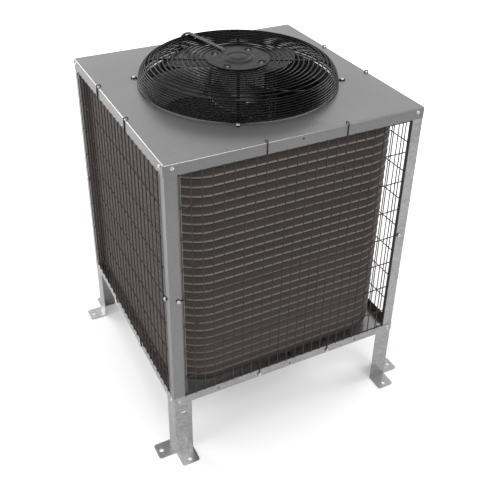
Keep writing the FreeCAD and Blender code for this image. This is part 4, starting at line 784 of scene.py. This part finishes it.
screwSpots = {"lipInset": 0.021, "lipLevel": 0.903, "panInset": 0.016, "panLevel": 0.194,
              "rearX": 0.326, "rearLevels": (0.249, 0.53305, 0.844), "lugRadius": 0.276,
              "lugLevel": 0.922, "motorLevel": 0.97635, "coverLeft": -0.1485, "coverRight": 0.0045,
              "coverY": 0.3825, "coverLevel": 0.784}
buildScrews("lip_screw_set", "lip_screws", facePlaces(screwSpots["lipInset"], screwSpots["lipLevel"]))
buildScrews("pan_screw_set", "pan_screws", facePlaces(screwSpots["panInset"], screwSpots["panLevel"]))
buildScrews("guard_screw_set", "guard_screws", guardScrewPlaces())
buildScrews("rear_panel_screw_set", "rear_panel_screws",
            [((side * screwSpots["rearX"], cabinet["halfDepth"], level), (0, 1, 0))
             for side in (-1, 1) for level in screwSpots["rearLevels"]])
buildScrews("lug_screw_set", "guard_lug_screws",
            ringPlaces(screwSpots["lugRadius"], screwSpots["lugLevel"], fanGuard["armAngle"]))
# painted shade: the motor screws take the darker copy of the screw finish
buildScrews("motor_screw_set", "motor_screws",
            ringPlaces(motorPlate["boltRadius"], screwSpots["motorLevel"], motorPlate["boltAngle"]),
            material=shadedScrew)
buildScrews("cover_screw_set", "box_cover_screws",
            [((screwSpots["coverLeft"], screwSpots["coverY"], screwSpots["coverLevel"]), (-1, 0, 0)),
             ((screwSpots["coverRight"], screwSpots["coverY"], screwSpots["coverLevel"]), (1, 0, 0))])
legBolt = {"flange": 0.0082, "flangeHeight": 0.0008, "across": 0.0070, "height": 0.0042,
           "shank": 0.0035, "length": 0.014, "x": 0.3235, "y": 0.317, "level": 0.1855}
buildScrews("leg_bolt_set", "leg_bolts",
            [((sideX * legBolt["x"], sideY * legBolt["y"], legBolt["level"]), (0, 0, 1))
             for sideX in (-1, 1) for sideY in (-1, 1)], legBolt)
print("screws ready")


# motor lead: a flattened sleeve over the guard, down through the panel and into the box

lead = {"angle": 102.0, "start": 0.064, "startLevel": 0.9760, "high": 0.9836, "drop": 0.2709,
        "low": 0.839, "endY": 0.351, "width": 0.0056, "height": 0.0034, "sides": 20,
        "bends": (0.006, 0.0585, 0.0225), "bendSteps": 10}


def buildLead(size):
    bm = bmesh.new()
    out = Vector((cos(radians(size["angle"])), sin(radians(size["angle"])), 0))
    profile = [(size["start"], size["startLevel"]), (size["start"], size["high"]),
               (size["drop"], size["high"]), (size["drop"], size["low"])]
    points = [out * across + Vector((0, 0, level)) for across, level in profile]
    points.append(Vector((points[-1].x, size["endY"], size["low"])))
    place = Matrix.Translation(points[0]) @ Matrix.Rotation(radians(size["angle"]), 4, "Z")
    section = Matrix.Diagonal((size["height"], size["width"], 1, 1))
    ring = bmesh.ops.create_circle(bm, segments=size["sides"], radius=1, matrix=place @ section)["verts"]
    sweepLoop(bm, edgesAmong(ring), points, size["bends"], size["bendSteps"])
    finishPiece("motor_lead_sleeve", bm, greySleeve, ["motor_lead"], sharp=60)


buildLead(lead)

# the solids that keep their own mesh
kept = {"motor_stator": castGrey, "stator_core": brightSteel, "motor_bearings": brightSteel,
        "motor_shaft": brightSteel, "cable_gland": glandNylon, "run_capacitor": caseWhite,
        "terminal_block": blockCream, "return_bends": copperTube, "discharge_line": copperTube,
        "liquid_line": copperTube, "line_nuts": brassHex, "panel_grommet": softRubber,
        "box_grommet": softRubber, "leg_nuts": screwZinc}
for node, material in kept.items():
    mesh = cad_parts[node].data
    mesh.materials.clear()
    mesh.materials.append(material)
print("lead and small parts ready")


# floor, light and camera

ground = {"colour": (0.74, 0.74, 0.74), "roughness": 0.9, "half": 9.0, "level": -0.0005,
          "nearGlow": 0.235, "farGlow": 0.95, "glowStart": 1.1, "glowEnd": 3.0}
worldStrength = 0.58


def buildFloor(size):
    # its glow, which only the camera sees, grows away from the object and leaves the shadow
    bm = bmesh.new()
    bmesh.ops.create_grid(bm, x_segments=1, y_segments=1, size=size["half"],
                          matrix=Matrix.Translation((0, 0, size["level"])))
    mesh = bpy.data.meshes.new("floor")
    bm.to_mesh(mesh)
    bm.free()
    material, tree, shader = startMaterial("paleFloor", size["colour"], size["roughness"])
    shader.inputs["Specular IOR Level"].default_value = 0.0
    path = addNode(tree, "ShaderNodeLightPath")
    away = addNode(tree, "ShaderNodeVectorMath", {0: objectPlace(tree)}, operation="LENGTH")
    glow = rescale(tree, away.outputs["Value"], size["glowStart"], size["glowEnd"], size["nearGlow"],
                   size["farGlow"])
    tree.links.new(calc(tree, "MULTIPLY", path.outputs["Is Camera Ray"], glow),
                   shader.inputs["Emission Strength"])
    shader.inputs["Emission Color"].default_value = (1, 1, 1, 1)
    mesh.materials.append(material)
    floor = bpy.data.objects.new("floor", mesh)
    bpy.context.scene.collection.objects.link(floor)


def buildWorld(strength):
    world = bpy.data.worlds.new("studio")
    bpy.context.scene.world = world
    world.use_nodes = True
    tree = world.node_tree
    background = tree.nodes["Background"]
    path = addNode(tree, "ShaderNodeLightPath")
    seen = calc(tree, "MAXIMUM", path.outputs["Is Camera Ray"],
                calc(tree, "MAXIMUM", path.outputs["Is Glossy Ray"], path.outputs["Is Transmission Ray"]))
    tree.links.new(rescale(tree, seen, 0.0, 1.0, strength, 1.0), background.inputs["Strength"])
    background.inputs["Color"].default_value = (1, 1, 1, 1)


def addLamp(name, place, aim, size, power):
    data = bpy.data.lights.new(name, "AREA")
    data.shape = "RECTANGLE"
    data.size, data.size_y = size
    data.energy = power
    lamp = bpy.data.objects.new(name, data)
    lamp.visible_camera = False
    bpy.context.scene.collection.objects.link(lamp)
    lamp.location = place
    lamp.rotation_euler = (Vector(aim) - Vector(place)).to_track_quat("-Z", "Y").to_euler()


lamps = {
    "softBoxFront": {"place": (0.45, -2.1, 2.8), "aim": (0, 0, 0.6), "size": (1.4, 1.0), "power": 26.0},
    "softBoxLeft": {"place": (-2.6, -0.2, 1.8), "aim": (0, 0, 0.5), "size": (1.8, 1.6), "power": 28.0},
    "softBoxRight": {"place": (2.5, -0.2, 1.5), "aim": (0, 0, 0.3), "size": (1.4, 1.2), "power": 40.0},
    "softBoxBack": {"place": (-1.2, 2.4, 2.1), "aim": (0, 0, 0.7), "size": (2.0, 1.2), "power": 42.0},
    "softBoxLow": {"place": (-1.6, 2.2, 0.7), "aim": (-0.35, 0, 0.6), "size": (1.0, 1.2), "power": 7.0},
    "softBoxAbove": {"place": (-0.3, 0.1, 3.4), "aim": (0, 0, 0.4), "size": (1.2, 1.2), "power": 26.0},
}

buildFloor(ground)
buildWorld(worldStrength)
for name, lamp in lamps.items():
    addLamp(name, lamp["place"], lamp["aim"], lamp["size"], lamp["power"])

cameraData = bpy.data.cameras.new("camera")
camera = bpy.data.objects.new("camera", cameraData)
bpy.context.scene.collection.objects.link(camera)
view = {"place": (-0.8269, -1.6430, 1.6978), "turn": -26.568, "down": 31.428, "roll": 0.607,
        "lens": 53.534, "shiftX": 0.03, "shiftY": -0.12}
turned = Matrix.Rotation(radians(view["turn"]), 3, "Z")
tilted = Matrix.Rotation(radians(90 - view["down"]), 3, "X")
rolled = Matrix.Rotation(radians(view["roll"]), 3, "Z")
camera.rotation_euler = (turned @ tilted @ rolled).to_euler()
camera.location = view["place"]
cameraData.sensor_width = 36
cameraData.lens = view["lens"]
cameraData.shift_x, cameraData.shift_y = view["shiftX"], view["shiftY"]
bpy.context.scene.camera = camera
bpy.context.scene.view_settings.view_transform = "Standard"
print("floor, light and camera ready")
